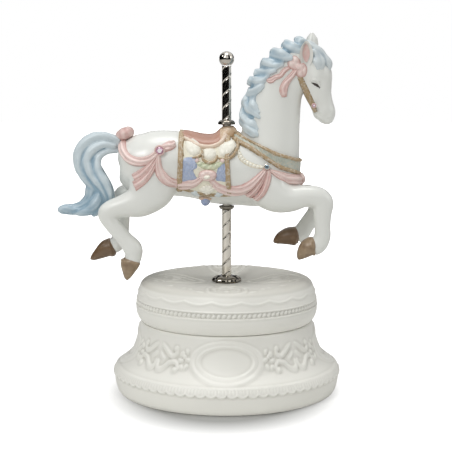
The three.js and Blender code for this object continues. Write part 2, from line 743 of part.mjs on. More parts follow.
function windingArbor() {
  const low = KEY.floorGap + KEY.hubH - ARBOR.inKey + SEAT;
  const hook = block([0, -0.5, barrelFoot + 3], [SPRING.innerR - SEAT, 0.5, barrelTop - 3]);
  return join(rod(ARBOR.r, low, barrelTop - SEAT, 12), hook);
}

// ---------------------------------------------------------------- pole

function poleSection(angle) {
  const groove = Math.abs(Math.cos((POLE.starts * angle) / 2));
  return POLE.r - POLE.groove * Math.max(0, (groove - 0.75) / 0.25);
}

function pole() {
  const lowTwist = [SEAT, bellySeat - BELLY_COLLAR.height - SEAT];
  const highTwist = [saddleSeat + SEAT, poleTop];
  const twist = ([low, high]) => {
    const turns = (high - low) / POLE.lead;
    return twisted(poleSection, low, high, turns, POLE.sides, Math.round(turns * POLE.rows));
  };
  const core = rod(POLE.r / 2, lowTwist[0] - 1, highTwist[1] - 1, 6);
  const shank = rod(poleCoreR, poleFoot - deckTop, lowTwist[0], 12);
  const inHorse = rod(poleCoreR, lowTwist[1], highTwist[0], 12);
  return join(core, shank, inHorse, twist(lowTwist), twist(highTwist));
}

// Ball cut flat where it stands on the pole's end.
function ballFinial() {
  const steps = 7;
  const start = Math.asin(BALL.seatR / BALL.r);
  const outline = [[0, 0]];
  const middle = BALL.r * Math.cos(start);
  for (let k = 0; k <= steps; k += 1) {
    const angle = start + ((Math.PI - start) * k) / steps;
    outline.push([BALL.r * Math.sin(angle), middle - BALL.r * Math.cos(angle)]);
  }
  outline[outline.length - 1][0] = 0;
  return turned(outline, 14);
}

// ---------------------------------------------------------------- horse
// Heights are above the horse's own level, x is ahead of the pole, and -Y is the near side.
// Each station is [x, y, z, half height, half width].

const TORSO = [
  [-54, 0, 22, 2.5, 5], [-52, 0, 22, 9.5, 9.5], [-48, 0, 21, 13.5, 12.5], [-42, 0, 19.5, 16, 14],
  [-35, 0, 19, 17, 14.5], [-27.5, 0, 19.5, 16.5, 14.5], [-20, 0, 18.5, 15.8, 15],
  [-12, 0, 17.5, 16.2, 15.5], [-5, 0, 16.5, 17.2, 15.5], [2.5, 0, 16.5, 17.8, 15.5],
  [10, 0, 16, 17.8, 15], [17, 0, 15, 17.4, 14], [24, 0, 13.5, 16, 12.5], [30, 0, 13, 13.5, 10.5],
  [34, 0, 13, 10, 8], [36, 0, 13.5, 4.5, 4],
];
const NECK = [
  [20.5, 0, 15, 15.5, 12.5], [21.5, 0, 26, 15, 11.5], [22, 0, 36, 14.5, 10],
  [23, 0, 46, 13.8, 8.8], [25, 0, 55, 12.8, 8], [28.5, 0, 62.5, 12, 7.6],
  [33, 0, 69, 10.5, 7.2], [37, 0, 73, 7.5, 6.4],
];
const HEAD = [
  [38, 0, 75.5, 5, 5], [41, 0, 73.5, 7.2, 6.6], [43, 0, 69, 8.5, 7.4], [44, 0, 63.5, 8.5, 7.4],
  [45, 0, 58, 7.5, 6.6], [46, 0, 53, 6.2, 5.6], [47.5, 0, 48, 5.5, 4.8], [48.5, 0, 44, 5, 4.4],
  [49, 0, 41, 3.5, 3.4], [48.5, 0, 39.5, 1.2, 1.5],
];
const TAIL = [
  [-51, 0, 29, 4, 4.5], [-60, 0, 29.5, 5.5, 5.5], [-65, -0.5, 28.5, 6.5, 6],
  [-68.5, -1, 25.5, 7.2, 6.5], [-69.5, -2, 20.5, 7.2, 6.5], [-67, -3, 15, 7.2, 6.5],
  [-64, -4, 9.5, 7.5, 6.5], [-63, -5, 4, 7, 6], [-64.5, -5, -1, 5.5, 5],
  [-67, -5, -5, 3.5, 3.5], [-67.5, -5, -7, 1.5, 1.5],
];
const TAIL_CURL = [
  [-64, -5, 6.5, 4, 4], [-67.5, -5.5, 1.5, 4.2, 4], [-72, -6, -2.5, 4, 3.6],
  [-77, -6.5, -3.5, 3.5, 3.2], [-81.5, -7, -3.5, 2.5, 2.6], [-83.5, -7, -4, 1.2, 1.5],
];
const HIND_NEAR = [
  [-37, -7, 19, 13.2, 8], [-37.5, -9, 9, 12.8, 7.5], [-43, -10.5, 2, 8.8, 6.5],
  [-50.5, -11, -0.5, 5.8, 5.2], [-57, -11, -2.5, 4.8, 4.6], [-59.5, -11, -5, 4.2, 4.4],
  [-56, -11, -10.5, 4, 3.8], [-50.5, -11, -17, 4, 3.8], [-46.5, -11, -22, 4.8, 4.4],
  [-46, -11, -26, 4, 4], [-47.5, -11, -28.5, 4.2, 4.2],
];
const HIND_FAR = [
  [-35.5, 7, 18, 13.8, 8], [-35.5, 8, 10.5, 12.2, 7.5], [-42, 9, 5, 7.8, 6],
  [-49.5, 9.5, 4, 5.2, 5], [-53.5, 9.5, 2, 4.5, 4.6], [-53.5, 9.5, -3, 4.2, 4.2],
  [-53.5, 9.5, -10, 4, 3.8], [-54, 9.5, -17, 4, 3.8], [-55.5, 9.5, -21.5, 4.2, 4.2],
  [-58.5, 9.5, -24, 4.2, 4],
];
const FORE_NEAR = [
  [17.5, -6.5, 12, 13, 7.5], [24.5, -8.5, 5, 9.5, 7], [31.5, -9.5, 3, 7, 5.6],
  [38.5, -10, 4, 5.5, 4.8], [44.5, -10, 3.5, 5.5, 4.8], [47.5, -10, 0.5, 5.5, 4.6],
  [47.5, -10, -5, 4.5, 4], [47.5, -10, -11, 4, 3.6], [47.5, -10, -16, 4.2, 4],
  [45.5, -10, -20, 4.5, 4.2], [42.5, -10, -22, 4.2, 4],
];
const FORE_FAR = [
  [18, 6.5, 12.5, 13.2, 7.5], [27, 8.5, 5.5, 8.2, 6.5], [35, 9.5, 3, 5.5, 5],
  [42.5, 10, 2.5, 5.2, 4.6], [47, 10, -1, 5, 4.4], [45.5, 10, -6.5, 4.5, 4],
  [41.5, 10, -12, 4.2, 3.8], [38.5, 10, -16.5, 4.5, 4], [35.5, 10, -19, 4.5, 4],
];
const HOOVES = [
  [[-47.5, -11, -27.5, 4, 4.2], [-48, -11, -29.5, 4.8, 4.9], [-48.5, -11, -32, 4.2, 4.6],
    [-49, -11, -35, 2.5, 3.2], [-49.5, -11, -37.5, 0.8, 1]],
  [[-58, 9.5, -24, 4, 4.2], [-60, 9.5, -24.5, 4.8, 4.9], [-63.5, 9.5, -26, 4.2, 4.6],
    [-67, 9.5, -28.5, 2.5, 3.2], [-69.5, 9.5, -30, 0.8, 1]],
  [[43.5, -10, -20.5, 3.8, 4], [41.5, -10, -20.5, 4.5, 4.8], [39, -10, -22.5, 4.2, 4.6],
    [37, -10, -25, 3, 3.4], [36, -10, -27, 1, 1]],
  [[36.5, 10, -19, 4, 4], [34.5, 10, -18.5, 4.8, 4.8], [31, 10, -18.5, 4.8, 4.6],
    [27, 10, -20, 3.5, 3.4], [24.5, 10, -21.5, 1, 1]],
];
const CREST = [
  [34, 0, 78, 3.5, 5.5], [28, 0, 74.5, 5, 6.5], [22, 0, 68.5, 5.5, 7.5], [17.5, 0, 62, 6, 8],
  [14.5, 0, 55, 5.5, 8], [12.5, 0, 47, 5, 7.5], [12.5, 0, 39.5, 4, 6], [13, 0, 32.5, 2, 4],
];
const LOCK_TIPS = [[27.5, 76.5], [19.5, 72], [13.5, 66], [10, 59.5], [8, 52.5], [7.3, 45.5]];
const FORELOCK = [
  [39, -1, 78.5, 2.5, 4], [43.5, -1, 77, 3, 4.5], [48, -1.5, 73, 3, 4.2],
  [50.5, -2, 67.5, 2, 3.2], [50.5, -2.5, 64, 0.8, 1.2],
];
const EARS = [
  [[39, -4.5, 70, 2.6, 3], [39, -5, 75.5, 3, 2.4], [38.6, -5, 78, 1.6, 1.4],
    [38.3, -5, 79.4, 0.3, 0.3]],
  [[43, 4.5, 73.5, 2.6, 3], [42.4, 4.8, 80, 2.6, 2.2], [41.9, 4.4, 82.5, 1.4, 1.4],
    [41.5, 4, 84, 0.3, 0.3]],
];
const SADDLE = [
  [-24, 0, 30, 3, 6], [-21.5, 0, 31, 4.8, 9], [-17, 0, 29, 5.6, 11], [-10, 0, 27.5, 6.5, 12],
  [-4, 0, 29, 8, 11.5], [0, 0, 31, 8.6, 9.5], [3, 0, 31.5, 8.4, 8.5], [7, 0, 32, 6, 7],
];
const CLOTH = { back: -24.5, front: 3.2, proud: 1 };
const BREAST_BAND = { x: 19, z: 25.5, wide: 6.6, tilt: 23.5, proud: 0.9, from: 2 };
const BOW_LOBES = [[-53.2, 0, 33.6, 3.4, 6.5, 3.4], [-48.6, 0, 34.2, 3.2, 6, 3.2]];
const GEM_SEATS = {
  rump: { x: -32.6, z: 27, y: 14.7 },
  chest: { x: 19.7, z: 19, y: 14.8 },
  bridle: { x: 43, z: 48.5, y: 6.2 },
};

function egg([x, y, z, rx, ry, rz]) {
  const geometry = new THREE.SphereGeometry(1, 7, 5);
  geometry.scale(rx, ry, rz);
  geometry.translate(x, y, z);
  return toSolid(geometry);
}

// Flat slab across the horse, used to cut a strap out of a slightly larger body.
function strapSlab({ x, z, wide, tilt }) {
  const geometry = new THREE.BoxGeometry(80, 60, wide);
  geometry.rotateY(THREE.MathUtils.degToRad(tilt));
  geometry.translate(x, 0, z);
  return toSolid(geometry);
}

// One curl of the mane, from inside the crest back and down to its tip.
function maneLock([x, z]) {
  return limb([
    [x + 10, 0, z + 1.5, 3, 6], [x + 5, 0, z + 3, 3.4, 6.8],
    [x + 1.6, 0, z + 0.5, 2.4, 6], [x + 2.4, 0, z - 3.4, 0.8, 2.4],
  ], 5, 3);
}

function horse() {
  const torso = (proud) => limb(TORSO, 12, 11, proud);
  const neck = (proud) => limb(NECK, 10, 6, proud);
  const head = limb(HEAD, 8, 8);
  const body = [
    torso(0), neck(0), head, limb(TAIL, 6, 10), limb(TAIL_CURL, 5, 4),
    ...[HIND_NEAR, HIND_FAR, FORE_NEAR, FORE_FAR].map((leg) => limb(leg, 6, 9)),
    ...HOOVES.map((hoof) => limb(hoof, 6, 3)),
    limb(CREST, 6, 6), limb(FORELOCK, 5, 4),
    ...EARS.map((ear) => limb(ear, 4, 3)),
    ...LOCK_TIPS.map(maneLock),
    ...BOW_LOBES.map(egg),
  ];
  const cloth = torso(CLOTH.proud).intersect(block([CLOTH.back, -30, -30], [CLOTH.front, 30, 60]));
  const band = join(neck(BREAST_BAND.proud), torso(BREAST_BAND.proud))
    .intersect(strapSlab(BREAST_BAND))
    .intersect(block([BREAST_BAND.from, -30, -30], [60, 30, 60]));
  const settings = Object.values(GEM_SEATS).flatMap(({ x, y, z }) => [-1, 1].map((side) => {
    const geometry = new THREE.CylinderGeometry(GEM.r + 0.5, GEM.r + 0.9, y - 2, 6);
    geometry.translate(0, (y + 2) / 2, 0);
    geometry.rotateX(side < 0 ? Math.PI : 0);
    geometry.translate(x, 0, z);
    return toSolid(geometry);
  }));
  const whole = join(...body, cloth, band, limb(SADDLE, 8, 7), ...settings);
  return cut(
    whole,
    rod(poleCoreR + SEAT, -20, SADDLE_SEAT + 20, 12),
    rod(BELLY_COLLAR.r + 0.6, -20, BELLY_SEAT, 12),
    rod(SADDLE_COLLAR.r + 0.4, SADDLE_SEAT, SADDLE_SEAT + 20, 12));
}

// Faceted crystal with its flat back at z = 0.
function gem() {
  return turned([
    [0, 0], [GEM.r, 0], [GEM.r, GEM.depth * 0.3], [GEM.r * 0.6, GEM.depth], [0, GEM.depth],
  ], GEM.sides);
}

// ---------------------------------------------------------------- assembly

function group(position = [0, 0, 0], rotation = [0, 0, 0]) {
  const made = new THREE.Group();
  made.position.set(...position);
  made.rotation.set(...rotation);
  return made;
}

function add(parent, name, solid, material, position = [0, 0, 0], rotation = [0, 0, 0]) {
  const mesh = new THREE.Mesh(toGeometry(solid), material);
  mesh.name = name;
  mesh.position.set(...position);
  mesh.rotation.set(...rotation);
  parent.add(mesh);
}

const stand = group();
add(stand, 'flared_base', flaredBase(), FINISH.bisque());
add(stand, 'platform_drum', platformDrum(), FINISH.bisque(), [0, 0, drumFoot]);
add(stand, 'pole_bushing', poleBushing(), FINISH.brass(), [0, 0, deckTop]);
add(stand, 'bottom_cover', bottomCover(), FINISH.board(), [0, 0, COVER.underside]);
bossSpots.forEach(([x, y], k) => {
  const flip = [Math.PI, 0, 0];
  add(stand, `cover_screw_${k + 1}`, screw(SCREW.cover), FINISH.steel(), [x, y, COVER.underside], flip);
});
add(stand, 'bedplate', bedplate(), FINISH.zinc(), [0, 0, bedFoot]);
bedScrews.forEach(([x, y], k) => {
  add(stand, `movement_screw_${k + 1}`, screw(SCREW.movement), FINISH.steel(), [x, y, bedTop]);
});
add(stand, 'tone_comb', comb(), FINISH.steel(), [0, 0, combFoot]);
combScrewX.forEach((x, k) => {
  const seat = [x, combScrewY, combFoot + COMB.thick];
  add(stand, `comb_screw_${k + 1}`, screw(SCREW.comb), FINISH.steel(), seat);
});
const arborHole = CYLINDER.arborR + RUN;
const governorHole = GOVERNOR.shaftR + RUN;
add(stand, 'cylinder_bracket_left',
  bearingPlate(-BRACKET.halfWidth, governorY + 2.4, 1, [[0, arborHole], [governorY, governorHole]]),
  FINISH.brass(), [leftPlateX, 0, bedTop]);
add(stand, 'cylinder_bracket_right',
  bearingPlate(-BRACKET.halfWidth, BRACKET.halfWidth, -1, [[0, arborHole]]),
  FINISH.brass(), [rightPlateX, 0, bedTop]);
add(stand, 'governor_frame', governorFrame(), FINISH.zinc(), [governorX, wormY, bedTop]);
add(stand, 'governor_bracket',
  bearingPlate(governorY - 2.2, governorY + 2.2, 1, [[governorY, governorHole]]),
  FINISH.brass(), [governorEnd - BRACKET.thick - 0.4, 0, bedTop]);

const key = group();
add(key, 'winding_key', windingKey(), FINISH.brass(), [0, 0, KEY.floorGap]);
add(key, 'winding_arbor', windingArbor(), FINISH.steel());

const AXIS_X = [0, Math.PI / 2, 0];   // turns a body's own Z to +X
const cylinderSet = group([0, 0, cylinderZ], AXIS_X);
add(cylinderSet, 'pinned_cylinder', pinnedCylinder(), FINISH.brass(), [0, 0, cylinderStart]);
add(cylinderSet, 'cylinder_gear', cylinderGear(), FINISH.brass(), [0, 0, cylinderGearX]);
add(cylinderSet, 'crown_pinion', crownPinion(), FINISH.brass(), [0, 0, crownPinionX]);
const arborStart = crownPinionX - 0.3;
const arborEnd = rightPlateX + BRACKET.thick + 0.5;
add(cylinderSet, 'cylinder_arbor', rod(CYLINDER.arborR, arborStart, arborEnd, 12), FINISH.steel());

const governorSet = group([0, governorY, cylinderZ], AXIS_X);
add(governorSet, 'governor_wheel', governorWheel(), FINISH.nylon(), [0, 0, governorStart]);

const flySet = group([governorX, wormY, cylinderZ]);
add(flySet, 'governor_worm', governorWorm(), FINISH.steel());
add(flySet, 'air_brake', airBrake(), FINISH.nylon(), [0, 0, frameTop - (cylinderZ - bedTop) + SEAT]);

const figure = group();
add(figure, 'spring_barrel', springBarrel(), FINISH.brass(), [0, 0, barrelFoot]);
add(figure, 'mainspring', mainspring(), FINISH.steel(), [0, 0, barrelFoot]);
add(figure, 'output_spindle', outputSpindle(), FINISH.steel(), [0, 0, bedTop]);
add(figure, 'shaft_sleeve', shaftSleeve(), FINISH.brass(), [0, 0, poleFoot - SLEEVE.length / 2]);
const carousel = group([0, 0, deckTop]);
figure.add(carousel);
add(carousel, 'pole', pole(), FINISH.chrome());
const collarBore = POLE.r + SEAT;
add(carousel, 'deck_collar', petalCup(DECK_COLLAR, collarBore, false), FINISH.chrome(),
  [0, 0, SEAT]);
add(carousel, 'belly_collar', petalCup(BELLY_COLLAR, collarBore, true), FINISH.chrome(),
  [0, 0, bellySeat - SEAT - BELLY_COLLAR.height]);
add(carousel, 'saddle_collar', petalCup(SADDLE_COLLAR, collarBore, false), FINISH.chrome(),
  [0, 0, saddleSeat + SEAT]);
add(carousel, 'ball_finial', ballFinial(), FINISH.chrome(), [0, 0, poleTop + SEAT]);
add(carousel, 'horse', horse(), FINISH.porcelain(), [0, 0, RIDE_HEIGHT]);
Object.entries(GEM_SEATS).forEach(([place, { x, y, z }]) => {
  const stone = place === 'chest' ? FINISH.clearCrystal : FINISH.pinkCrystal;
  [[-1, 'near'], [1, 'far']].forEach(([side, word]) => {
    const turn = [side < 0 ? Math.PI / 2 : -Math.PI / 2, 0, 0];
    add(carousel, `${place}_gem_${word}`, gem(), stone(), [x, side * (y + SEAT), RIDE_HEIGHT + z], turn);
  });
});

const musicBox = new THREE.Group();
musicBox.add(stand, key, cylinderSet, governorSet, flySet, figure);

// The origin is on the table under the middle of the whole outline, so the turning axis
// stands a little ahead of it: the tail reaches further back than the head reaches forward.
const outline = new THREE.Box3().setFromObject(musicBox);
musicBox.position.x = -(outline.min.x + outline.max.x) / 2;

export default musicBox;
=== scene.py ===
"""Looks of a wind-up music box: a porcelain carousel horse that turns on a carved bisque base.

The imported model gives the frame. Each sub-assembly is a class that holds its sizes, in
millimetres, and builds and dresses its own pieces. Shapes are numpy surfaces on a grid of two
parameters. Z is up, the horse faces +X, and -Y is the near side.
"""
import json
import logging
import math
from dataclasses import dataclass, field
from enum import Enum
from typing import Callable, Sequence

import bpy
import numpy as np
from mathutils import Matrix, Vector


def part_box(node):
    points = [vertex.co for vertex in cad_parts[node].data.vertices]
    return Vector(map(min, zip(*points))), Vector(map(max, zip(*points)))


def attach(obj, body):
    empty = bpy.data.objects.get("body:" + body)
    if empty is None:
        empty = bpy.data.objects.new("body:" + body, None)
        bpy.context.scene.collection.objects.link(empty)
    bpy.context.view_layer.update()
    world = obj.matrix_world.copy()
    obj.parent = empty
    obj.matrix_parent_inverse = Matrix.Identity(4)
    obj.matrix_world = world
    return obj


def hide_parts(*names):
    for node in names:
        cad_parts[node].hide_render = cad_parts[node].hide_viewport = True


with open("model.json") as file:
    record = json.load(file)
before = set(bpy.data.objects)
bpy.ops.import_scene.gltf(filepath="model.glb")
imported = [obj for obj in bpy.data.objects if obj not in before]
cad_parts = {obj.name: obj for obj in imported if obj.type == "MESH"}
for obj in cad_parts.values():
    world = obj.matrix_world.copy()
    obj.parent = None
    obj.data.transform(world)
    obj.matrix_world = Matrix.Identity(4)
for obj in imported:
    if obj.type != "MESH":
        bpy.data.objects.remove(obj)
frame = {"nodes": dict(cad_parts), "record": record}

LOG = logging.getLogger("music_box")
MM = 0.001
FULL = 2.0 * math.pi
FRONT = 1.5 * math.pi              # angle about Z that faces the near side
SUNK = 0.7                         # how deep the underside of a laid piece lies in the body
RIDE = 40.0                        # deck to the level from which the horse is measured
Array = np.ndarray
Stations = Sequence[Sequence[float]]
Surface = Callable[[Array, Array], Array]      # height or share added at two parameters


class Side(Enum):
    """Which side of the horse a piece lies on: its sign along Y."""

    NEAR = -1
    FAR = 1


class Body(Enum):
    """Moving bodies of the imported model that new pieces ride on."""

    STAND = "stand"
    FIGURE = "figure"


# ------------------------------------------------------------------ curves and grids


def spline(points: Stations, count: int) -> Array:
    """Smooth curve through the given rows.

    Catmull-Rom: between rows p1 and p2, at share s, a row is
    half of 2 p1 + (p2 - p0) s + (2 p0 - 5 p1 + 4 p2 - p3) s^2 + (3 p1 - 3 p2 + p3 - p0) s^3,
    where the rows beyond the ends are the mirrored neighbours.

    Args:
        points: Rows of any width, such as [x, y, z, half height, half width].
        count: Number of samples, evenly spread over the spans.

    Returns:
        Array of count rows.
    """
    p = np.asarray(points, float)
    p = np.vstack([2 * p[0] - p[1], p, 2 * p[-1] - p[-2]])
    spans = len(p) - 3
    at = np.linspace(0.0, spans, count)
    k = np.minimum(at.astype(int), spans - 1)
    s = (at - k)[:, None]
    p0, p1, p2, p3 = p[k], p[k + 1], p[k + 2], p[k + 3]
    return 0.5 * (
        2 * p1
        + (p2 - p0) * s
        + (2 * p0 - 5 * p1 + 4 * p2 - p3) * s**2
        + (3 * p1 - 3 * p2 + p3 - p0) * s**3
    )


def unit(v: Array) -> Array:
    """Rows of v scaled to length one."""
    return v / np.maximum(np.linalg.norm(v, axis=-1, keepdims=True), 1e-9)


def smooth_step(low: float, high: float, value: Array) -> Array:
    """0 below low, 1 above high, and 3 t^2 - 2 t^3 between them."""
    t = np.clip((value - low) / (high - low), 0.0, 1.0)
    return t * t * (3.0 - 2.0 * t)


def angles(count: int) -> Array:
    """Evenly spread angles round a full turn, as one row."""
    return np.linspace(0.0, FULL, count, endpoint=False)[None, :]


def around(r: Array, a: Array, z: Array) -> Array:
    """Rings about Z: the points (r cos a, r sin a, z)."""
    return np.stack([r * np.cos(a), r * np.sin(a), z + 0 * a], -1)


@dataclass
class Shell:
    """Closed surface: points in millimetres and faces of three or four corners.

    Attributes:
        points: Array of shape (n, 3).
        faces: Arrays of vertex numbers, one array for each number of corners.
        shade: Optional value for each point, which the finish reads as an attribute.
    """

    points: Array
    faces: list[Array]
    shade: Array | None = None

    def moved(self, offset: Sequence[float]) -> "Shell":
        """The same surface shifted by offset."""
        return Shell(self.points + np.asarray(offset, float), self.faces, self.shade)


def merge(shells: Sequence[Shell]) -> Shell:
    """One shell that holds all the given ones, each still closed by itself."""
    points, faces, shades, start = [], [], [], 0
    for shell in shells:
        points.append(shell.points)
        faces.extend(face + start for face in shell.faces)
        shades.append(np.zeros(len(shell.points)) if shell.shade is None else shell.shade)
        start += len(shell.points)
    return Shell(np.vstack(points), faces, np.concatenate(shades))


def outward(points: Array, faces: list[Array], shade: Array | None = None) -> Shell:
    """The shell, all its faces turned round where its volume comes out negative."""
    shell = Shell(points, faces, shade)
    return shell if volume(shell) > 0 else Shell(points, [f[:, ::-1] for f in faces], shade)


def skin(grid: Array, shade: Array | None = None, loop: bool = False) -> Shell:
    """Closed surface from rings of points.

    Args:
        grid: Array (rings, ring size, 3). Each ring is closed.
        shade: Optional array (rings, ring size).
        loop: True where the last ring joins the first, as on a turned wall with an inside;
            otherwise a fan closes each end.

    Returns:
        The shell, facing outwards.
    """
    rows, ring = grid.shape[:2]
    points = grid.reshape(-1, 3)
    r = np.arange(rows if loop else rows - 1)[:, None]
    c = np.arange(ring)[None, :]
    nr, nc = (r + 1) % rows, (c + 1) % ring
    quads = np.stack([r * ring + c, r * ring + nc, nr * ring + nc, nr * ring + c], -1)
    faces = [quads.reshape(-1, 4)]
    shades = None if shade is None else shade.reshape(-1)
    if not loop:
        first, last = len(points), len(points) + 1
        points = np.vstack([points, grid[0].mean(0), grid[-1].mean(0)])
        side = np.arange(ring)
        after = (side + 1) % ring
        end = (rows - 1) * ring
        faces.append(np.stack([np.full(ring, first), after, side], -1))
        faces.append(np.stack([np.full(ring, last), end + side, end + after], -1))
        if shades is not None:
            shades = np.concatenate([shades, [shade[0].mean(), shade[-1].mean()]])
    return outward(points, faces, shades)


def volume(shell: Shell) -> float:
    """Signed volume: a sixth of the sum of a . (b x c) over the faces' triangles."""
    total = 0.0
    for face in shell.faces:
        corner = [shell.points[face[:, k]] for k in range(face.shape[1])]
        for k in range(1, len(corner) - 1):
            total += float((corner[0] * np.cross(corner[k], corner[k + 1])).sum())
    return total / 6.0


def frames(centre: Array) -> tuple[Array, Array]:
    """Directions across a path: a side close to Y, and up, both square to its tangent.

    Args:
        centre: Array (rows, 3).

    Returns:
        Side and up, each (rows, 3).
    """
    along = unit(np.gradient(centre, axis=0))
    side = unit(np.array([0.0, 1.0, 0.0]) - along * along[:, 1:2])
    return side, np.cross(along, side)


def loft(stations: Stations, rows: int, sides: int, ridge: Surface | None = None) -> Shell:
    """Body carried along a curve, with an oval section that changes on the way.

    A point is centre + up h sin(a) k + side w cos(a) k, where centre, the half height h and
    half width w come from the stations' spline, a runs round the section, and
    k = 1 + ridge(share along, a).

    Args:
        stations: Rows of [x, y, z, half height, half width].
        rows: Number of sections.
        sides: Points round a section.
        ridge: Optional share added to the radius, which is also kept as the shade.

    Returns:
        The closed surface.
    """
    table = spline(stations, rows)
    centre, size = table[:, :3], np.maximum(table[:, 3:5], 0.05)
    side, up = frames(centre)
    a = angles(sides)
    share = np.linspace(0.0, 1.0, rows)[:, None]
    wave = np.zeros((rows, sides)) if ridge is None else ridge(share, a)
    grid = (
        centre[:, None]
        + up[:, None] * (size[:, 0:1] * np.sin(a) * (1 + wave))[..., None]
        + side[:, None] * (size[:, 1:2] * np.cos(a) * (1 + wave))[..., None]
    )
    return skin(grid, shade=wave)


def turned(outline: Stations, sides: int, closed: bool = True) -> Shell:
    """Body of revolution about Z: a point is (r cos a, r sin a, z) for each outline row [r, z].

    Args:
        outline: Rows of [radius, height].
        sides: Points round the axis.
        closed: True where the outline closes on itself as a wall; otherwise it starts and
            ends on the axis and a fan closes each end.

    Returns:
        The closed surface.
    """
    profile = np.asarray(outline, float)
    return skin(around(profile[:, :1], angles(sides), profile[:, 1:2]), loop=closed)


def egg(centre: Sequence[float], radii: Sequence[float], rows: int = 14, sides: int = 20) -> Shell:
    """Ellipsoid: centre + radii * (sin t cos a, sin t sin a, cos t), t from 0 to pi."""
    t = np.linspace(0.02, math.pi - 0.02, rows)[:, None]
    grid = around(np.sin(t), angles(sides), np.cos(t))
    return skin(np.asarray(centre, float) + grid * np.asarray(radii, float))


# ------------------------------------------------------------------ meshes and pieces


def to_mesh(name: str, shell: Shell) -> bpy.types.Mesh:
    """Blender mesh of a shell, in metres, smooth shaded, with its shade as an attribute.

    Args:
        name: The mesh's name.
        shell: Points in millimetres and faces.

    Returns:
        The new mesh.
    """
    mesh = bpy.data.meshes.new(name)
    corners = np.concatenate([face.ravel() for face in shell.faces])
    sizes = np.concatenate([np.full(len(face), face.shape[1]) for face in shell.faces])
    starts = np.concatenate([[0], np.cumsum(sizes)[:-1]])
    mesh.vertices.add(len(shell.points))
    mesh.loops.add(len(corners))
    mesh.polygons.add(len(sizes))
    mesh.vertices.foreach_set("co", (shell.points * MM).astype(np.float32).ravel())
    mesh.loops.foreach_set("vertex_index", corners.astype(np.int32))
    mesh.polygons.foreach_set("loop_start", starts.astype(np.int32))
    mesh.polygons.foreach_set("use_smooth", np.ones(len(sizes), bool))
    mesh.update(calc_edges=True)
    set_shade(mesh, shell.shade)
    return mesh


def set_shade(mesh: bpy.types.Mesh, shade: Array | None) -> None:
    """Writes one value per vertex as the float attribute that finishes read."""
    if shade is not None:
        kept = mesh.attributes.get("shade") or mesh.attributes.new("shade", "FLOAT", "POINT")
        kept.data.foreach_set("value", shade.astype(np.float32))


def points_of(mesh: bpy.types.Mesh) -> Array:
    """Vertex positions of a mesh in millimetres, as (n, 3)."""
    co = np.empty(len(mesh.vertices) * 3, np.float32)
    mesh.vertices.foreach_get("co", co)
    return co.reshape(-1, 3).astype(float) / MM


def move_points(mesh: bpy.types.Mesh, points: Array) -> None:
    """Puts the vertices at the given points, which are in millimetres."""
    mesh.vertices.foreach_set("co", (points * MM).astype(np.float32).ravel())
    mesh.update()


def normals_of(mesh: bpy.types.Mesh) -> Array:
    """Vertex normals of a mesh, as (n, 3)."""
    no = np.empty(len(mesh.vertices) * 3, np.float32)
    mesh.vertices.foreach_get("normal", no)
    return no.reshape(-1, 3).astype(float)


def placed(name: str, data: bpy.types.ID) -> bpy.types.Object:
    """New object that shows the data, linked to the scene."""
    obj = bpy.data.objects.new(name, data)
    bpy.context.scene.collection.objects.link(obj)
    return obj


def baked(obj: bpy.types.Object) -> bpy.types.Object:
    """Applies an object's modifiers, so that its mesh is final."""
    graph = bpy.context.evaluated_depsgraph_get()
    mesh = bpy.data.meshes.new_from_object(obj.evaluated_get(graph))
    old = obj.data
    obj.modifiers.clear()
    obj.data = mesh
    bpy.data.meshes.remove(old)
    mesh.polygons.foreach_set("use_smooth", np.ones(len(mesh.polygons), bool))
    return obj


def fused(name: str, shell: Shell, voxel: float, passes: int) -> bpy.types.Object:
    """One smooth body from overlapping shells: remeshed in cubes, then relaxed.

    Args:
        name: Name of the object.
        shell: All the overlapping closed surfaces.
        voxel: Size of the cubes in millimetres.
        passes: Smoothing passes, which also round the inner corners.

    Returns:
        The object with its final mesh.
    """
    obj = placed(name, to_mesh(name, shell))
    remesh = obj.modifiers.new("remesh", "REMESH")
    remesh.mode = "VOXEL"
    remesh.voxel_size = voxel * MM
    smooth = obj.modifiers.new("smooth", "SMOOTH")
    smooth.factor = 0.5
    smooth.iterations = passes
    return baked(obj)


def uneven(mesh: bpy.types.Mesh, amount: float) -> None:
    """Makes a fused mesh a little lumpy, as clay pressed by hand is.

    Each vertex moves along its normal by amount times the mean of three crossed waves,
    sin(k . p + phase), between 6 and 10 mm long.

    Args:
        mesh: The mesh, in metres.
        amount: Greatest shift in millimetres.
    """
    points = points_of(mesh)
    waves = np.array([[0.6, 0.3, 0.42], [-0.45, 0.5, 0.7], [0.25, -0.6, 0.56]])
    shift = amount * np.sin(points @ waves.T + (0.4, 2.1, 4.3)).mean(1)
    move_points(mesh, points + normals_of(mesh) * shift[:, None])


def hollows(mesh: bpy.types.Mesh, rounds: int = 12) -> Array:
    """How far each vertex stands proud of its surroundings, in millimetres; creases are negative.

    The mesh is relaxed on a copy of its points, each becoming the mean of its neighbours in
    every round, and the step back from there is measured along the normal.

    Args:
        mesh: An even mesh, such as a remeshed one.
        rounds: How wide the surroundings are.

    Returns:
        One value for each vertex.
    """
    ends = np.empty(len(mesh.edges) * 2, np.int32)
    mesh.edges.foreach_get("vertices", ends)
    start = np.concatenate([ends[0::2], ends[1::2]])
    other = np.concatenate([ends[1::2], ends[0::2]])
    here, n = points_of(mesh), normals_of(mesh)
    count = np.maximum(np.bincount(start, minlength=len(here)), 1)[:, None]
    calm = here
    for _ in range(rounds):
        total = [np.bincount(start, calm[other, k], len(here)) for k in range(3)]
        calm = np.stack(total, 1) / count
    return ((here - calm) * n).sum(1)


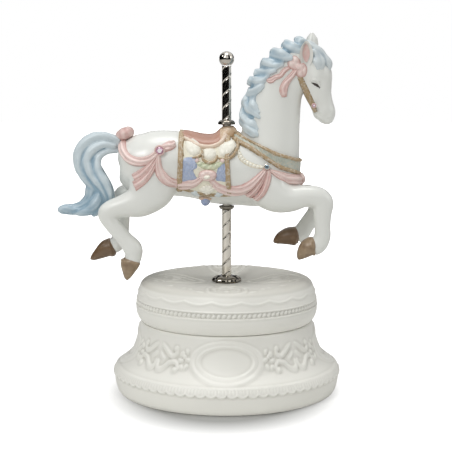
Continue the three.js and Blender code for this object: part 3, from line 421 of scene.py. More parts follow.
def piece(
    name: str, shape: Shell | bpy.types.Object, body: Body,
    material: bpy.types.Material, replaces: Sequence[str] = (),
) -> bpy.types.Object:
    """Finishes one piece of the object: mesh, material and body, hiding the CAD nodes it stands
    for.

    Args:
        name: Name of the object.
        shape: A shell in millimetres, or an object that is already made.
        body: Body that carries the piece.
        material: Its material.
        replaces: CAD nodes that the piece stands for.

    Returns:
        The object.
    """
    if isinstance(shape, Shell):
        obj = placed(name, to_mesh(name, shape))
    else:
        obj = shape
        obj.name = name
    obj.data.materials.clear()
    obj.data.materials.append(material)
    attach(obj, body.value)
    if replaces:
        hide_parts(*replaces)
    LOG.info("%-24s %7d faces on %s", name, len(obj.data.polygons), body.value)
    return obj


# ------------------------------------------------------------------ finishes


def linear(hex_colour: str) -> tuple[float, float, float, float]:
    """Linear colour of an sRGB hex value: c/12.92, or ((c + 0.055)/1.055)^2.4 above 0.04045."""
    srgb = [int(hex_colour.lstrip("#")[k:k + 2], 16) / 255.0 for k in (0, 2, 4)]
    lin = [c / 12.92 if c <= 0.04045 else ((c + 0.055) / 1.055) ** 2.4 for c in srgb]
    return (lin[0], lin[1], lin[2], 1.0)


def add(
    tree: bpy.types.NodeTree, kind: str, inputs: dict | None = None, **settings,
) -> bpy.types.Node:
    """Adds one node with its settings, values and links.

    Args:
        tree: The material's node tree.
        kind: Node type, such as "ShaderNodeTexNoise".
        inputs: Input socket, by name or number, to a value or to an output socket.
        settings: Properties of the node itself.

    Returns:
        The node.
    """
    node = tree.nodes.new(kind)
    for key, value in settings.items():
        setattr(node, key, value)
    for key, value in (inputs or {}).items():
        socket = node.inputs[key]
        if isinstance(value, bpy.types.NodeSocket):
            tree.links.new(value, socket)
        else:
            socket.default_value = value
    return node


def blank(name: str) -> tuple[bpy.types.Material, bpy.types.NodeTree]:
    """New material, and its node tree with nothing in it."""
    made = bpy.data.materials.new(name)
    made.use_nodes = True
    made.node_tree.nodes.clear()
    return made, made.node_tree


def blend(
    tree: bpy.types.NodeTree, share: bpy.types.NodeSocket,
    first: str | bpy.types.NodeSocket, second: str | bpy.types.NodeSocket,
) -> bpy.types.NodeSocket:
    """Colour between two by a share; either may be an sRGB hex value or a socket."""
    ends = [linear(c) if isinstance(c, str) else c for c in (first, second)]
    node = add(tree, "ShaderNodeMix", {"Factor": share, "A": ends[0], "B": ends[1]},
               data_type="RGBA")
    return next(s for s in node.outputs if s.type == "RGBA")


def per_metre(millimetres: float) -> float:
    """Texture scale that gives one pattern cell per so many millimetres."""
    return 1.0 / (millimetres * MM)


@dataclass(frozen=True)
class Finish:
    """A surface with a faint mottle in its colour and a fine grain in its relief.

    Attributes:
        name: Name of the material.
        colour: sRGB hex value of the lit surface.
        deep: sRGB hex value where the piece's shade attribute is low, as in hollows: painted shade
            on many pieces, and a deeper paint on some.
        roughness: Roughness of the shader.
        metallic: 1 for metal.
        coat: Weight of a clear glaze.
        sheen_rough: Roughness of that glaze.
        mottle: Share by which the colour drifts between patches.
        patch: Size of a patch in millimetres.
        grain: Size of the grain in millimetres.
        bump: Height of the grain in millimetres.
        low: Shade value that takes the deep colour.
        high: Shade value that takes the full colour.
        soft: Weight of light that travels under the surface.
        reach: How far that light travels, in millimetres.
        wash: How far the patches shift the shade, as a brushed paint pools and thins.
        thin: Share of the bare ground that shows where the paint is thinnest.
        ground: sRGB hex value of that ground.
        stroke: Size of a brush stroke as a share of a patch.
        worn: Noise values between which the ground comes through.
    """

    name: str
    colour: str
    deep: str
    roughness: float
    metallic: float = 0.0
    coat: float = 0.0
    sheen_rough: float = 0.2
    mottle: float = 0.04
    patch: float = 9.0
    grain: float = 0.35
    bump: float = 0.01
    low: float = -0.5
    high: float = 0.0
    soft: float = 0.0
    reach: float = 1.5
    wash: float = 0.0
    thin: float = 0.0
    ground: str = "#E9E6DC"
    stroke: float = 0.45
    worn: tuple[float, float] = (0.48, 0.68)

    def material(self) -> bpy.types.Material:
        """Builds the node material."""
        made, tree = blank(self.name)
        place = add(tree, "ShaderNodeTexCoord").outputs["Object"]
        patches = add(tree, "ShaderNodeTexNoise", {
            "Vector": place, "Scale": per_metre(self.patch), "Detail": 3.0})
        shade = add(tree, "ShaderNodeAttribute", attribute_name="shade").outputs["Fac"]
        pooled = add(tree, "ShaderNodeMath", {
            0: patches.outputs["Fac"], 1: self.wash, 2: shade}, operation="MULTIPLY_ADD")
        raised = add(tree, "ShaderNodeMapRange", {
            "Value": pooled.outputs[0], "From Min": self.low + self.wash / 2,
            "From Max": self.high + self.wash / 2})
        paint = blend(tree, raised.outputs[0], self.deep, self.colour)
        strokes = add(tree, "ShaderNodeTexNoise", {
            "Vector": place, "Scale": per_metre(self.patch * self.stroke), "Detail": 2.0})
        worn = add(tree, "ShaderNodeMapRange", {
            "Value": strokes.outputs["Fac"], "From Min": self.worn[0],
            "From Max": self.worn[1], "To Min": 0.0, "To Max": self.thin})
        wash = blend(tree, worn.outputs[0], paint, self.ground)
        gain = add(tree, "ShaderNodeMapRange", {
            "Value": patches.outputs["Fac"], "To Min": 1.0 - self.mottle,
            "To Max": 1.0 + self.mottle * 0.3})
        tinted = add(tree, "ShaderNodeVectorMath", {0: wash, "Scale": gain.outputs[0]},
                     operation="SCALE")
        grains = add(tree, "ShaderNodeTexNoise", {
            "Vector": place, "Scale": per_metre(self.grain), "Detail": 2.0})
        relief = add(tree, "ShaderNodeBump", {
            "Height": grains.outputs["Fac"], "Strength": 0.6, "Distance": self.bump * MM})
        rough = add(tree, "ShaderNodeMapRange", {
            "Value": patches.outputs["Fac"], "To Min": self.roughness * 0.9,
            "To Max": self.roughness * 1.1})
        shader = add(tree, "ShaderNodeBsdfPrincipled", {
            "Base Color": tinted.outputs[0], "Metallic": self.metallic,
            "Roughness": rough.outputs[0], "Normal": relief.outputs[0],
            "Coat Weight": self.coat, "Coat Roughness": self.sheen_rough,
            "Subsurface Weight": self.soft, "Subsurface Scale": self.reach * MM})
        add(tree, "ShaderNodeOutputMaterial", {"Surface": shader.outputs[0]})
        return made


@dataclass(frozen=True)
class Crystal:
    """Cut glass over a bright foil, which sends the light back through its facets.

    Attributes:
        name: Name of the material.
        colour: sRGB hex value of the slanted facets.
        table: sRGB hex value of the flat facet in front, which on the pink stone is a near-white
            painted reflection.
        metal: How much of the light the foil mirrors.
        square: How far a facet may lean from the front, as the cosines where it starts to
            take the slanted facets' colour and where it has it in full.
        roughness: Roughness of the foil.
        polish: Roughness of the cut glass over it.
    """

    name: str
    colour: str
    table: str
    metal: float = 0.55
    square: tuple[float, float] = (0.99, 0.9)
    roughness: float = 0.08
    polish: float = 0.02

    def material(self) -> bpy.types.Material:
        """Builds the node material: tinted foil seen through a clear coat, the front facet in the
        table colour.
        """
        made, tree = blank(self.name)
        place = add(tree, "ShaderNodeTexCoord")
        facing = add(tree, "ShaderNodeSeparateXYZ", {"Vector": place.outputs["Normal"]})
        ahead = add(tree, "ShaderNodeMath", {0: facing.outputs["Y"]}, operation="ABSOLUTE")
        slant = add(tree, "ShaderNodeMapRange", {
            "Value": ahead.outputs[0], "From Min": self.square[0], "From Max": self.square[1]})
        tint = blend(tree, slant.outputs[0], self.table, self.colour)
        shader = add(tree, "ShaderNodeBsdfPrincipled", {
            "Base Color": tint, "Metallic": self.metal, "Roughness": self.roughness,
            "Coat Weight": 1.0, "Coat Roughness": self.polish})
        add(tree, "ShaderNodeOutputMaterial", {"Surface": shader.outputs[0]})
        return made


class Finishes:
    """All the materials, each built once.

    Bisque is unglazed porcelain, cast and fired twice: a dry, even off-white. The horse is the
    same porcelain with a satin glaze, and its colours are soft underglaze paints. The pole,
    collars and ball are steel with bright nickel-chromium plate. The movement has stamped
    brass, ground spring steel, a die-cast zinc bed and moulded nylon.
    """

    def __init__(self) -> None:
        """Builds the materials."""
        paint = {"roughness": 0.4, "coat": 0.3, "sheen_rough": 0.3}
        table = {
            # bisque: its deep colour is painted shade, in the relief's creases and on the deck
            "bisque": Finish("Bisque_porcelain_unglazed", "#EFEEE7", "#CFCDC4", 0.5, mottle=0.015,
                             grain=0.3, bump=0.008, coat=0.3, sheen_rough=0.32, low=-0.45,
                             high=-0.02),
            "glaze": Finish("Porcelain_satin_glaze", "#E9EAE5", "#D9D8D2", 0.36, mottle=0.02,
                            coat=0.4, sheen_rough=0.22, bump=0.003),
            "blue": Finish("Underglaze_pale_blue", "#CFDBE0", "#8FABBC", mottle=0.04, patch=5,
                           low=-0.34, high=0.16, wash=0.25, **paint),
            "mist": Finish("Underglaze_blue_grey", "#D2DADC", "#9AAAB5", mottle=0.04, patch=6,
                           low=-0.18, high=0.12, wash=0.3, **paint),
            "pink": Finish("Underglaze_dusty_pink", "#EFD8D2", "#CFA49D", mottle=0.04, patch=4,
                           low=-0.3, high=0.42, wash=0.5, thin=0.25, **paint),
            "rose": Finish("Underglaze_rose", "#BF9079", "#A87763", mottle=0.06, patch=6,
                           low=-0.3, high=0.3, wash=0.5, thin=0.1, ground="#DDBBA4", **paint),
            "peach": Finish("Underglaze_peach", "#E3CDB8", "#C79E80", mottle=0.05, patch=3.5,
                            low=-0.4, high=0.3, wash=0.5, thin=0.3, **paint),
            "tan": Finish("Underglaze_pale_tan", "#D8BFA2", "#B59169", mottle=0.06, patch=4,
                          low=-0.4, high=0.4, wash=0.8, thin=0.3, **paint),
            "gold": Finish("Underglaze_tan_gold", "#B39A76", "#82693F", mottle=0.08, patch=3,
                           low=-0.5, high=0.35, wash=0.9, thin=0.5, **paint),
            "hoof": Finish("Underglaze_hoof_brown", "#AA9479", "#735A40", mottle=0.1, patch=3,
                           low=-0.25, high=0.2, wash=0.6, **paint),
            "panel": Finish("Underglaze_cornflower", "#A9B6D0", "#7389B8", mottle=0.08, patch=1.6,
                            low=-0.4, high=0.4, wash=0.9, thin=0.25, **paint),
            "cream": Finish("Underglaze_cream", "#F4F1E4", "#DDD0AE", mottle=0.03, patch=3,
                            low=-0.5, high=0.05, wash=0.4, **paint),
            "cloth": Finish("Underglaze_straw", "#EEE9D6", "#D3CCAA", mottle=0.05, patch=2.6,
                            low=-0.4, high=0.4, wash=0.9, thin=0.5, ground="#DBDDCB", **paint),
            "green": Finish("Underglaze_soft_green", "#D5DCC0", "#A9B78F", mottle=0.06, patch=2,
                            low=-0.4, high=0.4, wash=0.8, thin=0.6, ground="#F0E7C6", **paint),
            "strap": Finish("Underglaze_grey_green", "#BCC2B7", "#8C9A8C", mottle=0.08, patch=2.4,
                            low=-0.4, high=0.4, wash=0.9, thin=0.5, ground="#DCCBB4", **paint),
            "lash": Finish("Underglaze_black_brown", "#3A302C", "#2A211E", mottle=0.05,
                           **paint),
            # chrome: its deep colour is painted shade on the collars, the ball and in the pole's
            # grooves
            "chrome": Finish("Plated_steel_chrome", "#DED8CE", "#7C776E", 0.1, metallic=1.0,
                             mottle=0.03, grain=1.2, bump=0.001),
            "brass": Finish("Stamped_brass", "#C6A766", "#8F7440", 0.34, metallic=1.0,
                            mottle=0.08, grain=0.25, bump=0.004),
            "steel": Finish("Ground_spring_steel", "#A9ABAE", "#6F7175", 0.38, metallic=1.0,
                            mottle=0.06, grain=0.2, bump=0.004),
            "zinc": Finish("Die_cast_zinc", "#9C9EA1", "#7B7D80", 0.55, metallic=1.0,
                           mottle=0.08, grain=0.5, bump=0.01),
            "nylon": Finish("Moulded_nylon", "#E6E2D2", "#CFCAB8", 0.5, mottle=0.03, soft=0.1),
            "board": Finish("Pressed_cover_board", "#3C3733", "#2A2623", 0.85, mottle=0.12,
                            patch=3, grain=0.4, bump=0.03),
            # the pink stone's near-white front facet is a painted reflection
            "pink_crystal": Crystal("Cut_glass_pink", "#C08CA6", "#FFFAFC", 0.05),
            "clear_crystal": Crystal("Cut_glass_pale_blue", "#8FA8B6", "#5C6A78"),
        }
        self.made = {name: finish.material() for name, finish in table.items()}

    def __getitem__(self, name: str) -> bpy.types.Material:
        """The material of that name."""
        return self.made[name]


# ------------------------------------------------------------------ relief


def along_line(a: Array, z: Array, line: Array) -> tuple[Array, Array]:
    """Distance from each point (a, z) to a polyline, and the share along it of the nearest spot.

    For a segment from p to q the nearest spot is p + t (q - p), with
    t = ((x - p) . (q - p)) / |q - p|^2 held between 0 and 1.

    Args:
        a: Across positions, any shape.
        z: Heights, the same shape.
        line: Array (points, 2).

    Returns:
        Distance and share, in the shape of a.
    """
    best = np.full(a.shape, 1e9)
    share = np.zeros(a.shape)
    count = len(line) - 1
    for k in range(count):
        p, step = line[k], line[k + 1] - line[k]
        t = ((a - p[0]) * step[0] + (z - p[1]) * step[1]) / max(float(step @ step), 1e-9)
        t = np.clip(t, 0.0, 1.0)
        gap = np.hypot(a - p[0] - t * step[0], z - p[1] - t * step[1])
        nearer = gap < best
        best = np.where(nearer, gap, best)
        share = np.where(nearer, (k + t) / count, share)
    return best, share


@dataclass(frozen=True)
class Cord:
    """Carved cord in low relief: height (1 - (d / w)^2), w narrowing to the tips.

    Attributes:
        points: Control points [across, height] in millimetres.
        width: Half width at its widest.
        height: Height above the ground.
        blunt: Share of the width that the start keeps.
    """

    points: Stations
    width: float
    height: float
    blunt: float = 0.4

    def rise(self, a: Array, z: Array) -> Array:
        """Height of the relief at each point."""
        line = spline(self.points, 4 * len(self.points))
        low, high = line.min(0) - self.width, line.max(0) + self.width
        near = (a > low[0]) & (a < high[0]) & (z > low[1]) & (z < high[1])
        out = np.zeros(a.shape)
        if near.any():
            gap, share = along_line(a[near], z[near], line)
            wide = self.width * (self.blunt + (1 - self.blunt) * np.sin(np.pi * share**0.7))
            out[near] = self.height * np.clip(1 - (gap / wide) ** 2, 0, 1) * (wide / self.width)
        return out


@dataclass(frozen=True)
class Knob:
    """Round boss or leaf in low relief: height (1 - (d / r)^2) over a turned oval.

    Attributes:
        at: Centre [across, height].
        radii: Half axes before turning.
        height: Height above the ground.
        turn: Turn in degrees.
    """

    at: tuple[float, float]
    radii: tuple[float, float]
    height: float
    turn: float = 0.0

    def rise(self, a: Array, z: Array) -> Array:
        """Height of the relief at each point."""
        t = math.radians(self.turn)
        u = (a - self.at[0]) * math.cos(t) + (z - self.at[1]) * math.sin(t)
        v = (z - self.at[1]) * math.cos(t) - (a - self.at[0]) * math.sin(t)
        return self.height * np.clip(
            1 - (u / self.radii[0]) ** 2 - (v / self.radii[1]) ** 2, 0, 1) ** 0.7


def carve(a: Array, z: Array, motifs: Sequence[Cord | Knob]) -> Array:
    """Highest relief of several motifs at each point."""
    rise = np.zeros(a.shape)
    for motif in motifs:
        rise = np.maximum(rise, motif.rise(a, z))
    return rise


def hollow_shade(rise: Array, reach: int = 4) -> Array:
    """Relief less its own mean over a square of cells, so that creases come out below zero, where
    the bisque's finish paints them darker as painted shade.

    Args:
        rise: Relief on a grid (rows, ring) whose rows close on themselves.
        reach: Cells on each side that the mean takes in.

    Returns:
        Array of the same shape.
    """
    steps = range(-reach, reach + 1)
    along = sum(np.roll(rise, k, 1) for k in steps) / len(steps)
    tall = np.pad(along, ((reach, reach), (0, 0)), mode="edge")
    mean = sum(tall[reach + k:reach + k + len(rise)] for k in steps) / len(steps)
    return rise - mean


def ring_wave(distance: Array, width: float | Array) -> Array:
    """Round-topped ridge: (1 - (d / w)^2) within w, 0 beyond."""
    return np.clip(1 - (distance / width) ** 2, 0, 1)


def wall_rows(outline: Stations, rows: int) -> tuple[Array, Array]:
    """A wall's outline [r, z] drawn as a smooth line, and the outward direction at each row."""
    line = spline(outline, rows)
    tangent = np.gradient(line, axis=0)
    return line, unit(np.stack([tangent[:, 1], -tangent[:, 0]], -1))


@dataclass
class CarvedBase:
    """Flared ring with a medallion and scrollwork on each quarter and a scalloped hem.

    A point is the outline's (r, z) moved outwards by rise(angle, z) - ground, and turned
    about Z by the angle. Places on the wall are [across from the medallion's middle, height].
    """

    outline: Stations = (
        (55.2, 0.0), (56.2, 1.6), (56.9, 4.0), (57.3, 6.4), (57.4, 8.6), (57.2, 10.6),
        (56.1, 12.6), (54.0, 14.4), (51.6, 16.2), (49.4, 18.4), (47.9, 21.4), (46.5, 25.2),
        (45.5, 29.0), (44.8, 32.0), (44.1, 34.4), (43.6, 35.2))
    wall: float = 3.5
    sides: int = 760
    rows: int = 112
    repeats: int = 4
    arc_r: float = 49.5                # radius at which widths along the wall are measured
    ground: float = 0.55               # how far the plain ground lies inside the outline
    plain_foot: tuple[float, float] = (0.4, 2.0)       # the relief grows between these heights
    plain_top: tuple[float, float] = (35.0, 34.0)      # and between these, downwards
    medallion_z: float = 23.6
    medallion: tuple[float, float] = (19.2, 9.7)
    medallion_field: tuple[float, float] = (13.4, 6.4)
    scroll: tuple[Cord | Knob, ...] = (
        Cord(((37.0, 29.4), (35.2, 28.4), (32.4, 26.4), (29.8, 24.9), (27.8, 25.4), (26.9, 27.0),
              (27.5, 28.5)), 1.5, 0.82, 0.6),
        Cord(((38.2, 21.6), (38.0, 19.6), (36.6, 18.4), (34.4, 18.6), (32.6, 19.9), (30.6, 21.7),
              (28.2, 22.5), (26.2, 21.9), (25.3, 20.2), (25.9, 18.8)), 1.5, 0.85, 0.7),
        Cord(((37.4, 25.2), (36.2, 24.2), (34.6, 23.2)), 1.3, 0.6, 0.8),
        Knob((26.6, 18.9), (1.6, 1.4), 1.0),
        Knob((27.5, 28.3), (1.5, 1.4), 1.0),
        Knob((23.4, 26.1), (1.3, 1.7), 0.85, 25),
        Knob((20.9, 27.5), (1.1, 1.6), 0.75, -28),
        Knob((24.1, 23.3), (1.8, 1.2), 0.85, 8),
        Knob((20.0, 23.9), (1.7, 1.1), 0.75, 12),
        Knob((22.0, 25.1), (1.1, 1.1), 0.95),
        Knob((20.8, 20.6), (1.1, 1.7), 0.65, 30),
        Knob((23.4, 20.4), (1.2, 1.6), 0.65, -35),
    )
    hem_top: float = 13.3
    hem_low: float = 8.6
    scallops: int = 72
    lobe: float = 1.5                  # depth of a scallop
    pleats: int = 216

    def oval(self, a: Array, z: Array, radii: Sequence[float]) -> Array:
        """How far a place on the wall lies outside one of the medallion's ovals."""
        return (np.hypot(a / radii[0], (z - self.medallion_z) / radii[1]) - 1) * radii[1]

    def rise(self, angle: Array, z: Array) -> Array:
        """Relief above the plain ground at an angle and a height, in millimetres."""
        quarter = FULL / self.repeats
        folded = np.abs(np.mod(angle + quarter / 2 - FRONT, quarter) - quarter / 2)
        a = folded * self.arc_r
        outer = self.oval(a, z, self.medallion)
        inner = self.oval(a, z, self.medallion_field)
        band = smooth_step(0.5, -0.5, outer) * smooth_step(-0.5, 0.4, inner)
        plate = 0.34 * band
        plate += 0.2 * ring_wave(outer + 0.8, 0.75) + 0.18 * ring_wave(inner - 0.6, 0.6)
        plate -= 0.12 * smooth_step(0.0, -1.2, inner)
        return np.maximum(plate, carve(a, z, self.scroll)) + self.hem(angle, z)

    def hem(self, angle: Array, z: Array) -> Array:
        """Lace hem: a thin band with a lobed, rounded lower edge, small pleats and a top line."""
        top = self.hem_top
        edge = self.hem_low + self.lobe * (1 - np.abs(np.sin(angle * self.scallops / 2)) ** 0.6)
        body = smooth_step(edge - 0.25, edge + 0.25, z) * smooth_step(top + 1.0, top - 0.2, z)
        pleated = smooth_step(top - 3.4, top - 2.4, z) * smooth_step(top, top - 0.6, z)
        pleat = 0.13 * np.cos(angle * self.pleats) * pleated
        rim = 0.26 * ring_wave(z - edge - 0.6, 0.6)
        line = 0.16 * ring_wave(z - top + 0.5, 0.4)
        return body * (0.45 + pleat + rim + line)

    def build(self) -> Shell:
        """The ring as one closed wall, its outer rows carved."""
        outer, out = wall_rows(self.outline, self.rows)
        a, level = angles(self.sides), outer[:, 1:2]
        rise = self.rise(a + 0 * level, level + 0 * a)
        rise *= smooth_step(*self.plain_foot, level) * smooth_step(*self.plain_top, level)
        r = outer[:, :1] + out[:, :1] * (rise - self.ground)
        z = level + out[:, 1:2] * (rise - self.ground) * smooth_step(0.3, 3.0, level)
        inner = spline(self.outline, 12)[::-1]
        inner_r = np.repeat(inner[:, :1] - self.wall, self.sides, 1)
        inner_z = np.repeat(np.clip(inner[:, 1:2], 0.0, self.outline[-1][1]), self.sides, 1)
        # painted shade: the relief's creases take the bisque's deeper colour
        shade = np.vstack([hollow_shade(rise), np.zeros_like(inner_r)])
        grid = around(np.vstack([r, inner_r]), a, np.vstack([z, inner_z]))
        return skin(grid, shade=shade, loop=True)


@dataclass
class CarvedDrum:
    """Fixed drum on the base: a swelling wall with a bead ring, and a carved deck.

    A point is the outline's (r, z) moved outwards by rise, and turned about Z. Places on the
    deck are [across, distance from the axis].
    """

    outline: Stations = (
        (42.7, 35.25), (43.2, 35.6), (44.2, 36.7), (45.1, 38.4), (45.6, 40.0), (45.8, 41.6),
        (45.7, 43.4), (45.3, 44.0), (45.3, 46.4), (45.35, 47.2), (45.0, 48.6), (44.6, 50.4),
        (44.0, 52.2), (43.3, 53.9), (42.0, 55.3), (39.8, 56.0), (36.8, 56.15), (33.0, 55.9))
    wall: float = 3.5
    sides: int = 690
    wall_rows: int = 84
    deck_rows: int = 44
    arc_r: float = 45.3                # radius at which widths along the wall are measured
    bead_z: float = 45.2
    bead_r: float = 0.95
    bead_lean: float = 0.35            # each bead leans like a strand of a rope
    beads: int = 116
    swag_z: float = 51.6
    swag_dip: float = 1.3
    swags: int = 20
    deck: float = 54.5
    deck_thick: float = 4.0
    deck_edge: tuple[float, float] = (42.6, 40.6)      # the deck's relief grows between these
    sink: float = 0.4                  # the deck's middle lies this far below its plain height
    painted_deck_shade: float = 0.3                  # painted shade: how much greyer the deck is than the wall
    bore: float = 4.2
    recess: float = 5.8
    recess_depth: float = 1.1
    ceiling_r: float = 40.0
    hollow: Stations = ((42.2, 43.5), (38.2, 36.5))    # inner face of the wall
    spigot_r: float = 40.0
    spigot_z: float = 33.1
    heart: tuple[Cord | Knob, ...] = (
        Cord(((0.0, 42.6), (4.6, 42.2), (8.2, 40.0), (9.2, 35.4), (8.4, 28.6), (5.6, 22.0),
              (2.4, 18.8), (0.0, 18.4)), 1.3, 0.6, 0.9),
        Cord(((5.4, 39.0), (6.0, 34.4), (4.2, 30.6), (1.8, 32.0), (0.0, 36.0)), 1.1, 0.5, 0.7),
        Cord(((0.0, 27.0), (2.6, 25.0), (3.6, 22.6)), 0.9, 0.6, 0.7),
        Knob((0.0, 39.0), (1.6, 1.6), 0.9),
        Knob((12.6, 38.6), (2.4, 1.1), 0.7, -30),
        Knob((17.4, 33.0), (1.5, 2.2), 0.7, 20),
        Knob((20.6, 30.6), (1.2, 1.9), 0.6, -30),
        Knob((27.4, 24.2), (2.0, 1.2), 0.6, 30),
    )
    rosette: tuple[Cord | Knob, ...] = (
        Cord(((0.0, 10.6), (5.2, 14.6), (10.4, 21.0), (11.6, 27.0), (8.2, 33.4), (0.0, 39.0)),
             1.3, 0.65, 0.8),
        Cord(((0.0, 15.4), (3.4, 19.4), (6.6, 23.6), (6.6, 28.2), (3.4, 31.6), (0.6, 30.0)),
             1.0, 0.45, 0.6),
        Knob((0.0, 24.0), (1.5, 4.2), 0.65),
        Knob((3.2, 25.2), (1.2, 3.0), 0.8, -24),
        Knob((9.8, 35.6), (2.6, 1.0), 0.7, -34),
    )

    def wall_rise(self, angle: Array, z: Array) -> Array:
        """Relief of the wall: a bead ring in a channel between two lines, and a wavy line."""
        pitch, up = FULL / self.beads, z - self.bead_z
        u = (np.mod(angle, pitch) - pitch / 2) * self.arc_r - self.bead_lean * up
        bead = np.clip(1 - (u / (self.bead_r * 1.1)) ** 2 - (up / self.bead_r) ** 2, 0, 1) ** 0.5
        channel = ring_wave(up, 1.6)
        lines = ring_wave(up - 1.7, 0.5) + ring_wave(up + 1.7, 0.5)
        dip = np.abs(np.sin(angle * self.swags / 2 + FULL / 4))
        swag = ring_wave(z - self.swag_z + self.swag_dip * dip, 0.7)
        return 0.85 * bead - 0.35 * channel + 0.25 * lines + 0.26 * swag

    def deck_rise(self, angle: Array, r: Array) -> Array:
        """Relief of the deck: a heart in front and behind, a pointed rosette left and right."""
        rise = np.zeros(angle.shape)
        for quarter, motifs in enumerate((self.rosette, self.heart, self.rosette, self.heart)):
            turn = angle - quarter * FULL / 4
            u, v = np.abs(r * np.sin(turn)), r * np.cos(turn)
            rise = np.maximum(rise, carve(u, v, motifs))
        full = 0.4 + 0.6 * smooth_step(38.0, 34.0, r)
        return rise * full * smooth_step(*self.deck_edge, r)

    def floor(self, r: Array) -> Array:
        """Height of the deck, which sinks a little from its rim to the middle."""
        low, high = self.deck - self.sink, self.outline[-1][1]
        return low + (high - low) * smooth_step(12.0, 33.0, r)

    def build(self) -> Shell:
        """The drum as one closed wall: outside, deck, bushing seat, underside and spigot."""
        a = angles(self.sides)
        outer, out = wall_rows(self.outline, self.wall_rows)
        wide, level = outer[:, :1], outer[:, 1:2]
        rise = self.wall_rise(a + 0 * level, level + 0 * a)
        rise = rise + self.deck_rise(a + 0 * wide, wide + 0 * a) * smooth_step(49.0, 52.5, level)
        flat = np.linspace(self.outline[-1][0] - 0.5, self.recess + 0.3, self.deck_rows)[:, None]
        lift = self.deck_rise(a + 0 * flat, flat + 0 * a)
        low, ceiling = self.deck - self.recess_depth, self.deck - self.deck_thick
        inside = np.array([
            (self.recess, self.deck - self.sink), (self.recess, low), (self.bore, low),
            (self.bore, ceiling), (self.ceiling_r, ceiling), *self.hollow,
            (self.spigot_r - self.wall, self.spigot_z), (self.spigot_r, self.spigot_z),
            (self.spigot_r, self.outline[0][1])])
        within = np.repeat(inside, self.sides, 1).reshape(len(inside), 2, self.sides)
        r = np.vstack([wide + out[:, :1] * rise, flat + 0 * a, within[:, 0]])
        z = np.vstack([level + out[:, 1:2] * rise, self.floor(flat) + lift * 0.8, within[:, 1]])
        # painted shade: the relief's creases and the deck take the bisque's deeper colour
        shade = np.vstack([
            hollow_shade(rise, 3) - self.painted_deck_shade * smooth_step(53.0, 54.3, level),
            hollow_shade(lift, 2) - self.painted_deck_shade, np.zeros_like(within[:, 0])])
        return skin(around(r, a, z), shade=shade, loop=True)


@dataclass
class TwistedPole:
    """Round rod with two narrow grooves that wind up it, plain inside the horse and the base.

    The radius is r - depth (1 - (d / w)^2), where d is the arc from the nearest groove and
    the grooves turn once in each lead.
    """

    r: float = 2.36
    plain_r: float = 2.1
    groove: float = 0.26
    groove_wide: float = 0.35
    lower_extra: float = 0.17          # the grooves are wider below the horse
    lower_from: tuple[float, float] = (96.0, 94.0)     # heights between which they widen
    lead: float = 13.0
    starts: int = 2
    sides: int = 72
    step: float = 0.3

    def radius(self, angle: Array, z: Array) -> Array:
        """Radius of the twisted stretch at an angle and a height."""
        phase = np.mod(self.starts * (angle - FULL * z / self.lead), FULL) - np.pi
        arc = phase / self.starts * self.r
        wide = self.groove_wide + self.lower_extra * smooth_step(*self.lower_from, z)
        return self.r - self.groove * ring_wave(arc, wide)

    def build(self, foot: float, top: float, twisted: Sequence[tuple[float, float]]) -> Shell:
        """The whole rod.

        Args:
            foot: Height of its lower end.
            top: Height of its upper end.
            twisted: Height ranges that carry the grooves.

        Returns:
            The closed surface.
        """
        z = np.arange(foot, top + self.step / 2, self.step)
        z[-1] = top
        z = z[:, None]
        a = angles(self.sides)
        share = np.zeros_like(z)
        for low, high in twisted:
            ends = 1 if high >= top else smooth_step(high + 0.1, high - 0.3, z)
            share = np.maximum(share, smooth_step(low - 0.1, low + 0.3, z) * ends)
        r = self.plain_r + share * (self.radius(a, z) - self.plain_r)
        # painted shade: the grooves take part of the chrome's deeper colour
        return skin(around(r, a, z), shade=r - self.r)


@dataclass
class PetalCup:
    """Thin flared collar whose rim waves in petals.

    With t from the neck b to the rim R, the radius is
    (b + (R / (1 + k) - b) sin(t pi / 2)) (1 + k t cos(n a)), and the height above the foot is
    h - (h - thick) t^dome - rib t |sin(n a / 2)|.
    """

    rim: float
    height: float
    foot: float
    petals: int = 6
    neck: float = 2.75
    wave: float = 0.055                # k
    rib: float = 0.12
    dome: float = 1.4
    thick: float = 0.32
    # painted shade: the whole collar takes the chrome's deeper colour
    shade: float = -0.5
    opens_up: bool = False

    def build(self) -> Shell:
        """The cup as a thin closed wall."""
        a = angles(self.petals * 16)
        t = np.linspace(0.0, 1.0, 14)[:, None]
        flare = self.neck + (self.rim / (1 + self.wave) - self.neck) * np.sin(t * np.pi / 2)
        wave = 1 + self.wave * t * np.cos(self.petals * a)
        rib = self.rib * t * np.abs(np.sin(self.petals * a / 2))
        drop = (t**self.dome) * (self.height - self.thick)
        outer_r, outer_z = flare * wave, self.height - drop - rib
        inner_r, inner_z = outer_r[::-1] - self.thick * 0.5, (outer_z - self.thick)[::-1]
        inner_r = np.maximum(inner_r, self.neck - 0.12)
        r, z = np.vstack([outer_r, inner_r]), np.vstack([outer_z, inner_z])
        z = np.clip(z, 0.0, None)
        if self.opens_up:
            z = self.height - z
        return skin(around(r, a, z + self.foot), np.full(r.shape, self.shade), loop=True)


@dataclass
class Ball:
    """Sphere with a flat seat where it stands on the pole."""

    r: float = 3.75
    seat_r: float = 2.3
    # painted shade: the ball is painted partway to the chrome's deeper colour
    shade: float = -0.2

    def build(self, foot: float) -> Shell:
        """Sphere rows from the seat to the top: (R sin t, c - R cos t)."""
        start = math.asin(self.seat_r / self.r)
        t = np.linspace(start, math.pi - 0.02, 40)
        middle = foot + self.r * math.cos(start)
        outline = np.stack([self.r * np.sin(t), middle - self.r * np.cos(t)], -1)
        ball = turned(outline, 64, closed=False)
        ball.shade = np.full(len(ball.points), self.shade)
        return ball


# ------------------------------------------------------------------ horse


